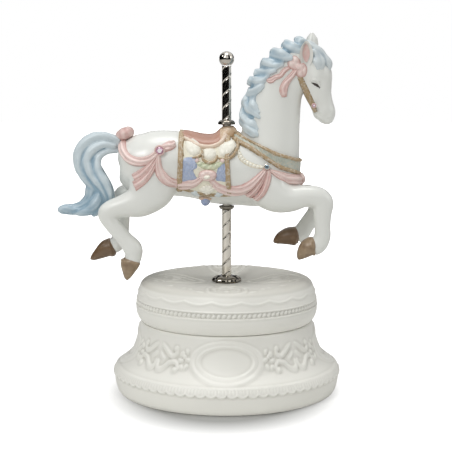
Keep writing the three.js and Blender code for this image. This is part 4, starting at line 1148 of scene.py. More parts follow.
@dataclass
class HorseBody:
    """Body, neck, head and legs, lofted from stations and fused into one smooth casting.

    Stations are [x ahead of the pole, y, height above the ride level, half height,
    half width], in millimetres, and the near legs have a negative y. Bumps are
    [x, y, height, reach, how far they stand out], on both sides.
    """

    voxel: float = 0.62
    passes: int = 9
    mouth_half: float = 0.75
    mouth_depth: float = 0.35
    muzzle_front: float = 0.8          # half width of the muzzle's front, which stays plain
    torso: Stations = (
        (-54, 0, 22, 2.5, 5), (-52, 0, 22, 9.5, 9.5), (-48, 0, 21, 13.5, 12.5),
        (-42, 0, 19.5, 16, 14), (-35, 0, 19, 17, 14.5), (-27.5, 0, 19.5, 16.5, 14.5),
        (-20, 0, 18.5, 15.8, 15), (-12, 0, 17.5, 16.2, 15.5), (-5, 0, 16.5, 17.2, 15.5),
        (2.5, 0, 16.5, 17.8, 15.5), (10, 0, 16, 17.8, 15), (17, 0, 15, 17.4, 14),
        (24, 0, 13.5, 16, 12.5), (30, 0, 13, 13.5, 10.5), (34, 0, 13, 10, 8),
        (36, 0, 13.5, 4.5, 4))
    neck: Stations = (
        (20.5, 0, 15, 15.5, 12.5), (21.5, 0, 26, 15, 11.5), (22, 0, 36, 14.5, 10),
        (23, 0, 46, 13.8, 8.8), (25, 0, 55, 12.8, 8), (28.5, 0, 62.5, 12, 7.6),
        (33, 0, 69, 10.5, 7.2), (37, 0, 73, 7.5, 6.4))
    head: Stations = (
        (38, 0, 75.0, 3.8, 4.6), (40.4, 0, 72.9, 6.3, 6.0), (42.3, 0, 68.8, 7.6, 6.9),
        (44, 0, 63.5, 8.3, 7.2), (45, 0, 58, 7.4, 6.4), (46.2, 0, 53, 6.1, 5.4),
        (47.7, 0, 48, 5.6, 4.7), (48.7, 0, 44.4, 5.6, 4.5), (48.9, 0, 41.2, 4.2, 3.6),
        (48.3, 0, 39.3, 1.7, 1.8))
    legs: tuple[Stations, ...] = (
        ((-37, -7, 19, 13.2, 8), (-37.5, -9, 9, 12.8, 7.5), (-43, -10.5, 2, 8.8, 6.5),
         (-50.5, -11, -0.5, 5.8, 5.2), (-57, -11, -2.5, 4.8, 4.6), (-59.5, -11, -5, 4.2, 4.4),
         (-56, -11, -10.5, 4, 3.8), (-50.5, -11, -17, 4, 3.8), (-46.5, -11, -22, 4.8, 4.4),
         (-46, -11, -26, 4, 4), (-47.5, -11, -28.5, 4.2, 4.2)),
        ((-35.5, 7, 18, 13.8, 8), (-35.5, 8, 10.5, 12.2, 7.5), (-42, 9, 5, 7.8, 6),
         (-49.5, 9.5, 4, 5.2, 5), (-53.5, 9.5, 2, 4.5, 4.6), (-53.5, 9.5, -3, 4.2, 4.2),
         (-53.5, 9.5, -10, 4, 3.8), (-54, 9.5, -17, 4, 3.8), (-55.5, 9.5, -21.5, 4.2, 4.2),
         (-58.5, 9.5, -24, 4.2, 4)),
        ((17.5, -6.5, 12, 13, 7.5), (24.5, -8.5, 5, 9.5, 7), (31.5, -9.5, 3, 7, 5.6),
         (38.5, -10, 4, 5.5, 4.8), (44.5, -10, 3.5, 5.5, 4.8), (47.5, -10, 0.5, 5.5, 4.6),
         (47.5, -10, -5, 4.5, 4), (47.5, -10, -11, 4, 3.6), (47.5, -10, -16, 4.2, 4),
         (45.5, -10, -20, 4.5, 4.2), (42.5, -10, -22, 4.2, 4)),
        ((18, 6.5, 12.5, 13.2, 7.5), (27, 8.5, 5.5, 8.2, 6.5), (35, 9.5, 3, 5.5, 5),
         (42.5, 10, 2.5, 5.2, 4.6), (47, 10, -1, 5, 4.4), (45.5, 10, -6.5, 4.5, 4),
         (41.5, 10, -12, 4.2, 3.8), (38.5, 10, -16.5, 4.5, 4), (35.5, 10, -19, 4.5, 4)))
    bumps: tuple[tuple[float, float, float, float, float], ...] = (
        (49.6, 3.4, 43.6, 1.5, -0.55),     # nostril
        (45.6, 7.0, 58.4, 2.3, -0.55),     # eye socket
        (44.0, 6.6, 61.8, 2.4, 0.45),      # brow
        (40.6, 7.2, 61.5, 4.6, 0.55),      # cheek
        (47.2, 4.5, 50.5, 2.8, -0.3),      # hollow of the nose
        (47.6, 5.0, 45.0, 2.6, 0.35),      # lip
        (-38.0, 14.0, 24.0, 9.0, 0.6),     # haunch
        (16.0, 13.0, 14.0, 9.0, 0.5),      # shoulder
        (31.0, 11.0, 8.0, 5.0, -0.35),     # elbow hollow
        (-24.0, 14.0, 6.0, 6.0, -0.4),     # flank
    )
    mouth: Stations = ((51.6, 41.4), (49.4, 41.8), (47.0, 43.0), (45.4, 44.4))

    def build(self) -> bpy.types.Object:
        """Fuses the lofts and models the small forms."""
        shells = [loft(self.torso, 60, 48), loft(self.neck, 36, 40), loft(self.head, 44, 36)]
        shells += [loft(leg, 56, 28) for leg in self.legs]
        obj = fused("horse_body", merge(shells), self.voxel, self.passes)
        self.sculpt(obj.data)
        return obj

    def trunk(self) -> Array:
        """Points of the body and the neck without legs, close enough together for a map."""
        shells = [loft(self.torso, 260, 260), loft(self.neck, 260, 260)]
        return merge(shells).points

    def sculpt(self, mesh: bpy.types.Mesh) -> None:
        """Adds the bumps, each h exp(-(d / r)^2) along the normal, and cuts the mouth."""
        p, n = points_of(mesh), normals_of(mesh)
        push = np.zeros(len(p))
        for x, y, z, radius, height in self.bumps:
            gap = (p[:, 0] - x) ** 2 + (np.abs(p[:, 1]) - y) ** 2 + (p[:, 2] - z) ** 2
            push += height * np.exp(-gap / radius**2)
        gap, _ = along_line(p[:, 0], p[:, 2], spline(self.mouth, 12))
        beside = np.abs(p[:, 1]) > self.muzzle_front
        push -= self.mouth_depth * ring_wave(gap, self.mouth_half) * beside
        move_points(mesh, p + n * push[:, None])


# ------------------------------------------------------------------ draping on the body


class View(Enum):
    """How a relief map looks at the body."""

    NEAR = "near"      # from -Y: u = x, v = z, height -y
    FAR = "far"        # from +Y: u = x, v = z, height y
    GIRTH = "girth"    # round the barrel of the body: u = x, v = arc from the top
    CHEST = "chest"    # round the chest and neck: u = arc from the front, v = z


@dataclass
class Relief:
    """Height map of the body in one view, on which painted pieces are laid.

    Every vertex falls in a cell of (u, v). A cell keeps the mean of the heights close to its
    greatest one, empty cells take the mean of their neighbours, and the map is blurred.

    Attributes:
        view: How the map looks at the body.
        low: Smallest u and v.
        high: Largest u and v.
        cell: Size of a cell in millimetres.
        middle: Place of a round view's axis: its z for GIRTH and its x for CHEST.
        radius: Radius at which the arc of a round view is measured.
        layer: How far below a cell's greatest height a point still counts.
        heights: The map, one height for each cell.
    """

    view: View
    low: tuple[float, float]
    high: tuple[float, float]
    cell: float = 0.8
    middle: float = 17.0
    radius: float = 15.0
    layer: float = 1.2
    heights: Array = field(default_factory=lambda: np.zeros((1, 1)))

    def chart(self, p: Array) -> tuple[Array, Array, Array]:
        """Map coordinates u, v and height w of points (n, 3)."""
        x, y, z = p[:, 0], p[:, 1], p[:, 2]
        if self.view is View.GIRTH:
            up = z - self.middle
            return x, np.arctan2(y, up) * self.radius, np.hypot(y, up)
        if self.view is View.CHEST:
            ahead = x - self.middle
            return np.arctan2(y, ahead) * self.radius, z, np.hypot(y, ahead)
        return x, z, (y if self.view is View.FAR else -y)

    def point(self, u: Array, v: Array, w: Array) -> Array:
        """Points of map coordinates, the inverse of chart; the last axis is x, y, z."""
        if self.view is View.GIRTH:
            a = v / self.radius
            return np.stack([u, w * np.sin(a), self.middle + w * np.cos(a)], -1)
        if self.view is View.CHEST:
            a = u / self.radius
            return np.stack([self.middle + w * np.cos(a), w * np.sin(a), v], -1)
        return np.stack([u, w if self.view is View.FAR else -w, v], -1)

    def read(self, points: Array) -> "Relief":
        """Fills the map from a cloud of surface points."""
        u, v, w = self.chart(points)
        shape = (int((self.high[0] - self.low[0]) / self.cell) + 1,
                 int((self.high[1] - self.low[1]) / self.cell) + 1)
        i = np.round((u - self.low[0]) / self.cell).astype(int)
        j = np.round((v - self.low[1]) / self.cell).astype(int)
        keep = (i >= 0) & (i < shape[0]) & (j >= 0) & (j < shape[1]) & (w > 0)
        i, j, w = i[keep], j[keep], w[keep]
        top = np.full(shape, -1.0)
        np.maximum.at(top, (i, j), w)
        close = w > top[i, j] - self.layer
        total, count = np.zeros(shape), np.zeros(shape)
        np.add.at(total, (i[close], j[close]), w[close])
        np.add.at(count, (i[close], j[close]), 1.0)
        known = count > 0
        level = np.where(known, total / np.maximum(count, 1), 0.0)
        self.heights = self.filled(level, known)
        return self

    @staticmethod
    def filled(level: Array, known: Array, grow: int = 40, blur: int = 2) -> Array:
        """The map with its empty cells filled from their neighbours, then blurred.

        Args:
            level: Height of each cell.
            known: True where a cell holds a height.
            grow: How many cells the filling reaches.
            blur: Rounds of (2 here + the four neighbours) / 6.

        Returns:
            The finished map.
        """
        for _ in range(grow):
            near, weight = np.zeros(level.shape), np.zeros(level.shape)
            for axis in (0, 1):
                for step in (-1, 1):
                    near += np.roll(level * known, step, axis)
                    weight += np.roll(known.astype(float), step, axis)
            grown = (weight > 0) & ~known
            level = np.where(grown, near / np.maximum(weight, 1), level)
            known = known | grown
        for _ in range(blur):
            padded = np.pad(level, 1, mode="edge")
            level = (padded[1:-1, 1:-1] * 2 + padded[:-2, 1:-1] + padded[2:, 1:-1]
                     + padded[1:-1, :-2] + padded[1:-1, 2:]) / 6.0
        return level

    def height(self, u: Array, v: Array) -> Array:
        """Height at (u, v), read between the four nearest cells."""
        a = np.clip((u - self.low[0]) / self.cell, 0, self.heights.shape[0] - 1.001)
        b = np.clip((v - self.low[1]) / self.cell, 0, self.heights.shape[1] - 1.001)
        i, j = a.astype(int), b.astype(int)
        s, t = a - i, b - j
        h = self.heights
        return ((1 - s) * (1 - t) * h[i, j] + s * (1 - t) * h[i + 1, j]
                + (1 - s) * t * h[i, j + 1] + s * t * h[i + 1, j + 1])

    def lay(self, u: Array, v: Array, lift: Array) -> Array:
        """Points that stand lift above the body, along its normal.

        With q(u, v) the body's point, the normal is the product of its two differences over
        1 mm, and the point is q + lift n.
        """
        def on_body(du: float, dv: float, above: float = 0.0) -> Array:
            """The body at a place du and dv further, and above it."""
            return self.point(u + du, v + dv, self.height(u + du, v + dv) + above)
        here, d = on_body(0.0, 0.0), 0.5
        normal = unit(np.cross(on_body(d, 0.0) - on_body(-d, 0.0),
                               on_body(0.0, d) - on_body(0.0, -d)))
        out = on_body(0.0, 0.0, 1.0) - here
        normal *= np.sign((normal * out).sum(-1, keepdims=True) + 1e-9)
        return here + normal * np.asarray(lift)[..., None]


def closing(t: Array, reach: float) -> Array:
    """1 along a band, falling to 0 at both ends over a share of its length: sqrt(t / reach)."""
    return np.sqrt(np.clip(np.minimum(t, 1 - t) / reach, 0, 1))


def strip(
    relief: Relief, left: Stations, right: Stations, rows: int, across: int,
    lift: Surface, base: float = 0.0,
) -> Shell:
    """Painted band between two edges that lies on the body.

    A point of the top is the body's point at L(t) + (R(t) - L(t)) (s + 1) / 2 raised by
    lift(t, s); the underside lies SUNK below the surface, and both join at the edges.

    Args:
        relief: Map to lie on.
        left: Map points [u, v] of the left edge.
        right: Map points of the right edge.
        rows: Samples along the band, t from 0 to 1.
        across: Samples over it, s from -1 to 1.
        lift: Height of the top above the body in millimetres.
        base: Height added where the band lies on another piece.

    Returns:
        The closed band, its shade being the lift over its own greatest value.
    """
    a, b = spline(left, rows), spline(right, rows)
    s = np.sin(np.linspace(-math.pi / 2, math.pi / 2, across))[None, :]
    t = np.linspace(0.0, 1.0, rows)[:, None]
    uv = a[:, None] + (b - a)[:, None] * ((s[..., None] + 1) / 2)
    rise = np.broadcast_to(lift(t, s), (rows, across)) + base
    top = relief.lay(uv[..., 0], uv[..., 1], rise)
    low = relief.lay(uv[:, ::-1, 0], uv[:, ::-1, 1], np.full((rows, across), -SUNK))
    shade = rise / max(float(rise.max()), 1e-6) - 0.5
    return skin(np.concatenate([top, low], 1), np.concatenate([shade, shade * 0 - 0.5], 1))


def dome(height: float, power: float = 4.0, ends: float = 0.12) -> Surface:
    """Lift h (1 - |s|^p) that also falls to nothing at both ends of the band."""
    def lift(t: Array, s: Array) -> Array:
        """Height at t along the band and s across it."""
        return height * (1 - np.abs(s) ** power) * closing(t, ends)
    return lift


def pleats(
    height: float, folds: float, sway: float = 0.5, ends: float = 0.06, depth: float = 0.45,
) -> Surface:
    """Lift of a gathered ribbon: h (1 - s^4) (1 - d (1 - cos(pi f s + sway sin 2 pi t)) / 2)."""
    def lift(t: Array, s: Array) -> Array:
        """Height at t along the ribbon and s across it."""
        wave = 0.5 + 0.5 * np.cos(FULL * folds * s / 2 + sway * np.sin(FULL * t))
        return height * (1 - np.abs(s) ** 4) * (1 - depth * (1 - wave)) * closing(t, ends)
    return lift


def ribbon(
    relief: Relief, path: Stations, widths: Sequence[float], rows: int = 48, across: int = 15,
    lift: Surface | None = None, base: float = 0.0,
) -> Shell:
    """Band along a path of map points, with half widths spread evenly over its length."""
    line = spline(path, rows)
    half = spline([[w] for w in widths], rows)
    along = unit(np.gradient(line, axis=0))
    normal = np.stack([-along[:, 1], along[:, 0]], 1)
    return strip(relief, line + normal * half, line - normal * half, rows, across,
                 lift or dome(0.9), base)


def pad(
    relief: Relief, outline: Stations, height: float, power: float = 3.0, rings: int = 12,
    sides: int = 60, base: float = 0.0, wave: Surface | None = None,
) -> Shell:
    """Patch inside a closed outline: c + r (outline(a) - c), raised by h (1 - r^p) + wave.

    Args:
        relief: Map to lie on.
        outline: Map points round the patch, with no repeated end.
        height: Height of its middle.
        power: How flat the top is.
        rings: Samples from the middle to the edge.
        sides: Samples round it.
        base: Height added where it lies on another piece.
        wave: Optional height added from (r, angle).

    Returns:
        The closed patch.
    """
    edge = loop_spline(outline, sides)
    middle = edge.mean(0)
    r = np.sin(np.linspace(0.02, math.pi / 2, rings))[:, None]
    a = angles(sides)
    uv = middle + r[..., None] * (edge[None] - middle)
    rise = height * (1 - r**power) + base * np.ones_like(a)
    if wave is not None:
        rise = rise + wave(r, a)
    top = relief.lay(uv[..., 0], uv[..., 1], rise)
    low = relief.lay(uv[::-1, :, 0], uv[::-1, :, 1], np.full(rise.shape, -SUNK))
    shade = np.concatenate([rise / max(height + base, 1e-6) - 0.5, rise * 0 - 0.5])
    return skin(np.concatenate([top, low]), shade)


def loop_spline(ring: Stations, count: int) -> Array:
    """Smooth closed curve: the middle part of the spline of the ring repeated on both sides."""
    p, fine = np.asarray(ring, float), 40
    n = len(p)
    long = np.vstack([p[-2:], p, p[:3]])
    dense = spline(long, (n + 4) * fine + 1)[2 * fine:(2 + n) * fine]
    pick = np.linspace(0, len(dense), count, endpoint=False).astype(int)
    return dense[pick]


# ------------------------------------------------------------------ hair, hooves and tack


@dataclass
class Lock:
    """One lock of hair: a tapering, ridged roll along a curve.

    Attributes:
        path: Rows of [x, y, z, half height, half width] in the horse's frame.
        strands: Ridges round the lock.
        twist: Turns of the ridges along it.
        depth: Depth of the grooves as a share of the radius.
        rows: Samples along.
        sides: Samples round.
    """

    path: Stations
    strands: int = 7
    twist: float = 0.35
    depth: float = 0.11
    rows: int = 46
    sides: int = 84

    def build(self) -> Shell:
        """Ridges: depth (|cos(n b / 2)| - 0.6 + cos(3 n b + 4 t) / 8), b the angle less the twist.

        b = a - 2 pi twist t + 0.35 sin(5 t), so that the ridges also waver a little.
        """
        def ridge(t: Array, a: Array) -> Array:
            """Share added to the radius at t along the lock and a round it."""
            turn = a - FULL * self.twist * t + 0.35 * np.sin(5.0 * t)
            main = np.abs(np.cos(self.strands * turn / 2)) - 0.6
            return self.depth * (main + 0.125 * np.cos(3 * self.strands * turn + 4 * t))
        return loft(self.path, self.rows, self.sides, ridge=ridge)


@dataclass
class Mane:
    """Mane on the crest of the neck: puffed locks that end in a scalloped edge at the back.

    A lock is a row of [x, z, half height] that starts on the neck's side, swells and rounds
    over the crest. All the locks and the crest are fused, so the creases between them are
    soft, as in a casting.
    """

    voxel: float = 0.42
    passes: int = 2
    crest: Stations = (
        (38.5, 0, 78.2, 1.4, 4.4), (35.5, 0, 77.4, 2.6, 5.4), (30.5, 0, 75.0, 3.6, 6.0),
        (25.4, 0, 71.0, 3.8, 6.4), (21.0, 0, 66.4, 3.6, 6.6), (17.2, 0, 61.0, 3.4, 6.6),
        (14.4, 0, 54.6, 3.2, 6.4), (12.8, 0, 47.6, 3.2, 6.0), (12.0, 0, 40.6, 3.0, 5.4),
        (12.6, 0, 36.4, 2.0, 4.2), (13.4, 0, 33.6, 0.7, 2.0))
    locks: tuple[Stations, ...] = (
        ((40.2, 77.6, 1.0), (37.8, 79.4, 1.9), (35.4, 80.2, 2.1), (34.0, 80.2, 1.7)),
        ((36.8, 74.6, 1.2), (33.6, 76.0, 2.4), (30.0, 77.3, 3.0), (27.9, 77.8, 2.5)),
        ((32.2, 71.6, 1.3), (28.2, 72.3, 2.7), (24.6, 73.2, 3.4), (22.4, 73.6, 2.9)),
        ((28.0, 69.0, 1.2), (23.8, 68.4, 2.3), (20.0, 69.0, 2.8), (17.2, 69.8, 2.4)),
        ((24.2, 66.2, 1.1), (19.8, 64.6, 1.9), (16.4, 64.4, 2.1), (13.6, 64.9, 1.8)),
        ((20.8, 63.4, 1.1), (17.4, 61.0, 2.0), (13.6, 60.2, 2.3), (10.8, 60.9, 2.0)),
        ((18.0, 58.8, 1.1), (15.2, 56.0, 2.1), (12.2, 54.7, 2.5), (10.2, 55.3, 2.2)))
    falls: tuple[Stations, ...] = (
        ((10.8, 53.6, 1.4), (9.9, 50.2, 2.3), (10.9, 46.9, 2.4), (13.8, 44.6, 1.8),
         (16.4, 42.2, 0.5)),
        ((14.6, 52.8, 1.2), (12.9, 49.6, 1.8), (14.0, 46.9, 1.6), (16.2, 45.0, 0.5)),
        ((9.4, 48.2, 1.3), (8.4, 44.2, 2.2), (10.4, 41.2, 2.3), (13.4, 39.2, 1.7),
         (15.8, 36.8, 0.5)),
        ((8.8, 43.2, 1.2), (8.3, 40.2, 2.1), (10.8, 37.4, 2.1), (13.6, 35.6, 1.6),
         (15.2, 33.6, 0.5)),
        ((9.4, 39.4, 1.0), (9.6, 36.8, 1.7), (11.6, 34.6, 1.5), (13.8, 33.0, 0.4)),
        ((12.2, 43.4, 0.8), (13.2, 40.6, 1.3), (15.2, 38.8, 0.4)))
    forelock: tuple[Stations, ...] = (
        ((36.6, -1.6, 78.6, 1.2, 2.8), (40.4, -1.8, 78.2, 2.0, 3.2), (43.8, -2.0, 75.8, 2.5, 3.2),
         (47.2, -2.2, 72.4, 2.6, 3.2), (50.0, -2.4, 68.6, 2.2, 2.8), (50.5, -2.6, 65.4, 0.8, 1.3)),
        ((40.2, -3.8, 74.8, 1.2, 2.0), (42.6, -4.4, 74.2, 2.2, 2.4), (44.8, -5.1, 71.2, 2.6, 2.6),
         (46.2, -5.4, 67.6, 2.2, 2.3), (46.0, -5.4, 65.0, 0.7, 0.9)),
        ((41.2, -4.9, 71.6, 1.0, 1.6), (43.4, -5.7, 70.6, 1.9, 1.8), (45.0, -6.2, 67.8, 1.7, 1.5),
         (43.9, -6.5, 65.2, 0.4, 0.5)),
        ((37.4, 2.2, 78.0, 1.4, 2.8), (41.8, 2.6, 77.0, 2.2, 3.0), (46.0, 2.8, 73.8, 2.5, 2.9),
         (48.9, 2.6, 70.0, 2.1, 2.6), (49.6, 2.4, 66.6, 0.6, 0.9)),
        ((41.6, 5.4, 74.0, 1.4, 2.0), (44.6, 5.4, 72.6, 2.2, 2.2), (46.6, 5.4, 69.0, 1.6, 1.7),
         (46.0, 5.6, 66.4, 0.4, 0.5)))

    def lock(self, view: Relief, row: Stations, number: int, over: bool) -> Shell:
        """One lock on the neck's side; where over is set, its end rounds the crest.

        y = side (h + 0.25 r) (1 - w), with h the neck's height in that view, r the lock's
        half height and w rising from 0 to 0.7 towards the end, or for a lock that falls,
        sinking from 0.25 to 0 in its first half.

        Args:
            view: Side map of the horse.
            row: Rows of [x, z, half height].
            number: Its number, which sets how many strands it has.
            over: True where its end rounds the crest.

        Returns:
            The lock.
        """
        line = spline(row, 24)
        across = view.height(line[:, 0], line[:, 1])
        for _ in range(4):
            across[1:-1] = (across[:-2] + across[1:-1] * 2 + across[2:]) / 4
        share = np.linspace(0.0, 1.0, len(line))
        wrap = (0.7 * smooth_step(0.45, 1.0, share) if over
                else 0.25 * smooth_step(0.5, 0.0, share))
        sign = 1.0 if view.view is View.FAR else -1.0
        half = line[:, 2]
        y = sign * (np.maximum(across, 2.0) + 0.25 * half) * (1 - wrap)
        path = np.stack([line[:, 0], y, line[:, 1], half, half * 0.92], 1)
        return Lock(path, strands=4 + number % 2, twist=0.16 * sign, depth=0.15, rows=44,
                    sides=60).build()

    def build(self, maps: "Maps") -> bpy.types.Object:
        """Crest core and the locks of both sides, fused."""
        shells = [Lock(self.crest, strands=9, twist=0.1, depth=0.06, rows=60, sides=72).build()]
        for view in maps.sides():
            for rows, over in ((self.locks, True), (self.falls, False)):
                shells += [self.lock(view, row, k, over) for k, row in enumerate(rows)]
        return fused("mane_hair", merge(shells), self.voxel, self.passes)

    def front(self) -> bpy.types.Object:
        """Forelock over the brow, fused from five locks."""
        shells = [Lock(path, strands=4, twist=0.15, depth=0.14, sides=60).build()
                  for path in self.forelock]
        return fused("forelock", merge(shells), self.voxel, self.passes)


@dataclass
class Ear:
    """Pricked ear: a leaf with a cupped front and a rounded back.

    With t along the leaf and s across it, a point of the front is
    root + t (tip - root) + s w(t) across + cup (s^2 - 0.6) k(t) out, with k the width over the
    greatest width, and the back lies deeper by a thickness that fades at the rim.
    """

    root: tuple[float, float, float]
    tip: tuple[float, float, float]
    widths: tuple[float, ...] = (2.0, 2.9, 3.3, 3.1, 2.4, 0.7)
    facing: tuple[float, float, float] = (0.06, -1.0, 0.0)
    cup: float = 2.2
    thick: float = 1.5
    rows: int = 40
    across: int = 33

    def leaf(self, wide: float, low: float, high: float, raised: float, thick: float) -> Shell:
        """Part of the leaf, or all of it.

        Args:
            wide: Share of the leaf's width.
            low: Share of its length where the part begins.
            high: Share of its length where the part ends.
            raised: Distance in front of the leaf's own face.
            thick: Thickness in the middle.

        Returns:
            The closed part.
        """
        t = np.linspace(low, high, self.rows)[:, None]
        width = spline([[w] for w in self.widths], 200)[:, 0]
        span = np.interp(t, np.linspace(0, 1, len(width)), width)
        if wide < 1:
            span = span * np.sqrt(np.clip(np.sin(math.pi * (t - low) / (high - low)), 0.02, 1))
        s = np.sin(np.linspace(-math.pi / 2, math.pi / 2, self.across))[None, :] * wide
        root, tip = np.array(self.root), np.array(self.tip)
        up = tip - root
        out = unit(np.array(self.facing) - unit(up) * (np.array(self.facing) @ unit(up)))
        side = np.cross(out, unit(up))
        scale = (span / max(self.widths))[..., None]
        middle = root + t[..., None] * up + (s * span)[..., None] * side
        front = middle + out * ((self.cup * (s**2 - 0.6))[..., None] * scale + raised)
        rim = (1 - (s / wide) ** 2)[..., None]
        back = front - out * (thick * (0.25 + rim) * (0.35 + 0.65 * scale))
        return skin(np.concatenate([front, back[:, ::-1]], 1))

    def build(self) -> tuple[Shell, Shell]:
        """The ear and the painted hollow inside it."""
        return (self.leaf(1.0, 0.0, 1.0, 0.0, self.thick),
                self.leaf(0.55, 0.12, 0.9, 0.16, 0.4))


@dataclass
class Tail:
    """Tail that rises from the rump, falls in one heavy wave and splits at the end."""

    voxel: float = 0.46
    passes: int = 2
    main: Stations = (
        (-50.0, 0, 28.6, 3.0, 3.8), (-54.5, 0, 29.2, 3.9, 4.6), (-60, 0, 30.0, 4.9, 5.2),
        (-65.4, -0.5, 29.2, 6.0, 5.8), (-69.4, -1, 25.2, 6.6, 6.2), (-69.8, -2, 19.6, 6.5, 6.2),
        (-66.9, -3, 14.2, 6.0, 6.0), (-63.2, -4, 9.2, 5.6, 5.6), (-60.4, -5, 4.6, 4.8, 4.8),
        (-59.6, -5.4, 0.6, 3.4, 3.6), (-60.8, -5.4, -2.6, 1.0, 1.2))
    strands: tuple[Stations, ...] = (
        ((-53, -3, 31.2, 1.4, 2), (-60, -4.2, 33.4, 2.1, 2.6), (-67, -4.6, 32.4, 2.5, 2.8),
         (-72.2, -5, 27.2, 2.8, 3), (-73.4, -5.4, 20.2, 2.7, 3), (-71.4, -6, 14.4, 2.3, 2.8),
         (-67.4, -7, 9.4, 1.8, 2.4), (-64.4, -8, 5.2, 0.6, 1)),
        ((-55, -4, 28.4, 1.2, 1.8), (-61, -5.6, 29.4, 1.9, 2.2), (-66.4, -6.4, 26.6, 2.4, 2.6),
         (-68.6, -7.2, 20.6, 2.4, 2.8), (-66.2, -8.2, 14.0, 2.2, 2.6),
         (-62.0, -8.8, 8.4, 1.9, 2.4), (-59.6, -9, 3.2, 0.7, 1.0)),
        ((-54, -3.6, 26.0, 1.0, 1.6), (-59.4, -5.2, 25.6, 1.5, 2.0), (-63.6, -6.6, 22.6, 2.0, 2.2),
         (-63.6, -8.0, 16.8, 2.2, 2.4), (-60.4, -9, 11.4, 2.2, 2.4), (-57.9, -9, 6.0, 1.6, 2.0),
         (-57.6, -8.6, 1.8, 0.5, 0.8)),
        ((-60, 4.4, 30.4, 1.6, 2.4), (-66, 5, 28.8, 2.4, 2.8), (-70.4, 4.4, 23.6, 2.6, 3),
         (-70.6, 3.4, 17, 2.6, 3), (-66.4, 2.2, 10.4, 2.6, 3), (-62.6, 0.8, 4.6, 2.2, 2.6),
         (-61.4, -0.4, -0.6, 0.8, 1.2)))
    curls: tuple[Stations, ...] = (
        ((-65.6, -4.6, 12.0, 3.0, 3.4), (-66.6, -5.2, 7.0, 3.7, 3.8), (-67.4, -5.6, 2.4, 3.6, 3.8),
         (-70.6, -6.2, -1.2, 3.5, 3.6), (-75.6, -6.6, -2.9, 2.8, 3.0),
         (-79.8, -6.8, -2.9, 2.7, 2.8), (-82.6, -7, -3.0, 2.0, 2.2),
         (-84.0, -7, -3.3, 0.7, 0.9)),
        ((-62.8, -7.4, 6.0, 1.8, 2.0), (-64.4, -8.6, 1.4, 2.8, 2.6), (-67.2, -9.2, -2.4, 2.8, 2.4),
         (-71.4, -9, -4.0, 2.0, 2.0), (-75.6, -8.4, -4.6, 0.7, 0.9)),
        ((-62.0, -6.4, 4.0, 2.2, 2.6), (-63.4, -7.4, -0.6, 2.9, 2.8), (-65.2, -8, -4.2, 2.3, 2.2),
         (-66.4, -8, -6.4, 0.5, 0.8)))

    def build(self) -> bpy.types.Object:
        """Main wave with the strands laid on it and the split curls, fused."""
        looks = (((self.main,), 15, 0.3, 0.045, 120, 150), (self.strands, 8, 0.22, 0.07, 80, 84),
                 (self.curls, 8, 0.25, 0.09, 60, 84))
        shells = [Lock(path, *look).build() for paths, *look in looks for path in paths]
        return fused("tail_hair", merge(shells), self.voxel, self.passes)


@dataclass
class Hooves:
    """Four brown hooves, rounded like small boats, with a soft ridge at the crown."""

    far_painted_shade: float = 0.3             # painted shade: how much deeper the far pair's brown is, for the shade they stand in
    stations: tuple[Stations, ...] = (
        ((-47.4, -11, -27, 3.6, 3.8), (-47.6, -11, -28.2, 4.6, 4.7),
         (-48.2, -11, -30.6, 4.5, 4.7), (-48.8, -11, -33.6, 3.2, 3.7),
         (-49.4, -11, -36.4, 1.7, 2.2), (-49.6, -11, -37.7, 0.5, 0.7)),
        ((-57.6, 9.5, -23.8, 3.6, 3.8), (-58.8, 9.5, -24.2, 4.6, 4.7),
         (-61.6, 9.5, -25, 4.5, 4.7), (-65.2, 9.5, -27.4, 3.2, 3.7),
         (-68.4, 9.5, -29.6, 1.7, 2.2), (-69.8, 9.5, -30.4, 0.5, 0.7)),
        ((44.2, -10, -20.6, 3.6, 3.8), (42.8, -10, -20.8, 4.6, 4.7), (40.4, -10, -21.8, 4.5, 4.7),
         (38, -10, -24.2, 3.4, 3.8), (36.4, -10, -26.4, 1.8, 2.2), (35.8, -10, -27.6, 0.5, 0.7)),
        ((37, 10, -18.8, 3.6, 3.8), (35.4, 10, -18.6, 4.6, 4.7), (32, 10, -18.6, 4.6, 4.7),
         (28.2, 10, -19.6, 3.5, 3.8), (25.4, 10, -21, 1.9, 2.3), (24.1, 10, -21.8, 0.5, 0.7)))

    def build(self) -> Shell:
        """All four, each with a groove in front and the crown's ridge."""
        def ridge(t: Array, a: Array) -> Array:
            """Share added to the radius: 0.05 at the crown, less 0.16 in the groove."""
            front = np.exp(-((np.sin(a - math.pi / 2) * 4) ** 2)) * (np.cos(a - math.pi / 2) > 0)
            return 0.05 * ring_wave(t - 0.22, 0.1) - 0.16 * front * smooth_step(0.3, 0.9, t)
        feet = merge([loft(row, 48, 56, ridge=ridge) for row in self.stations])
        # painted shade on the far pair of hooves
        feet.shade = feet.shade - self.far_painted_shade * smooth_step(-2.0, 2.0, feet.points[:, 1])
        return feet


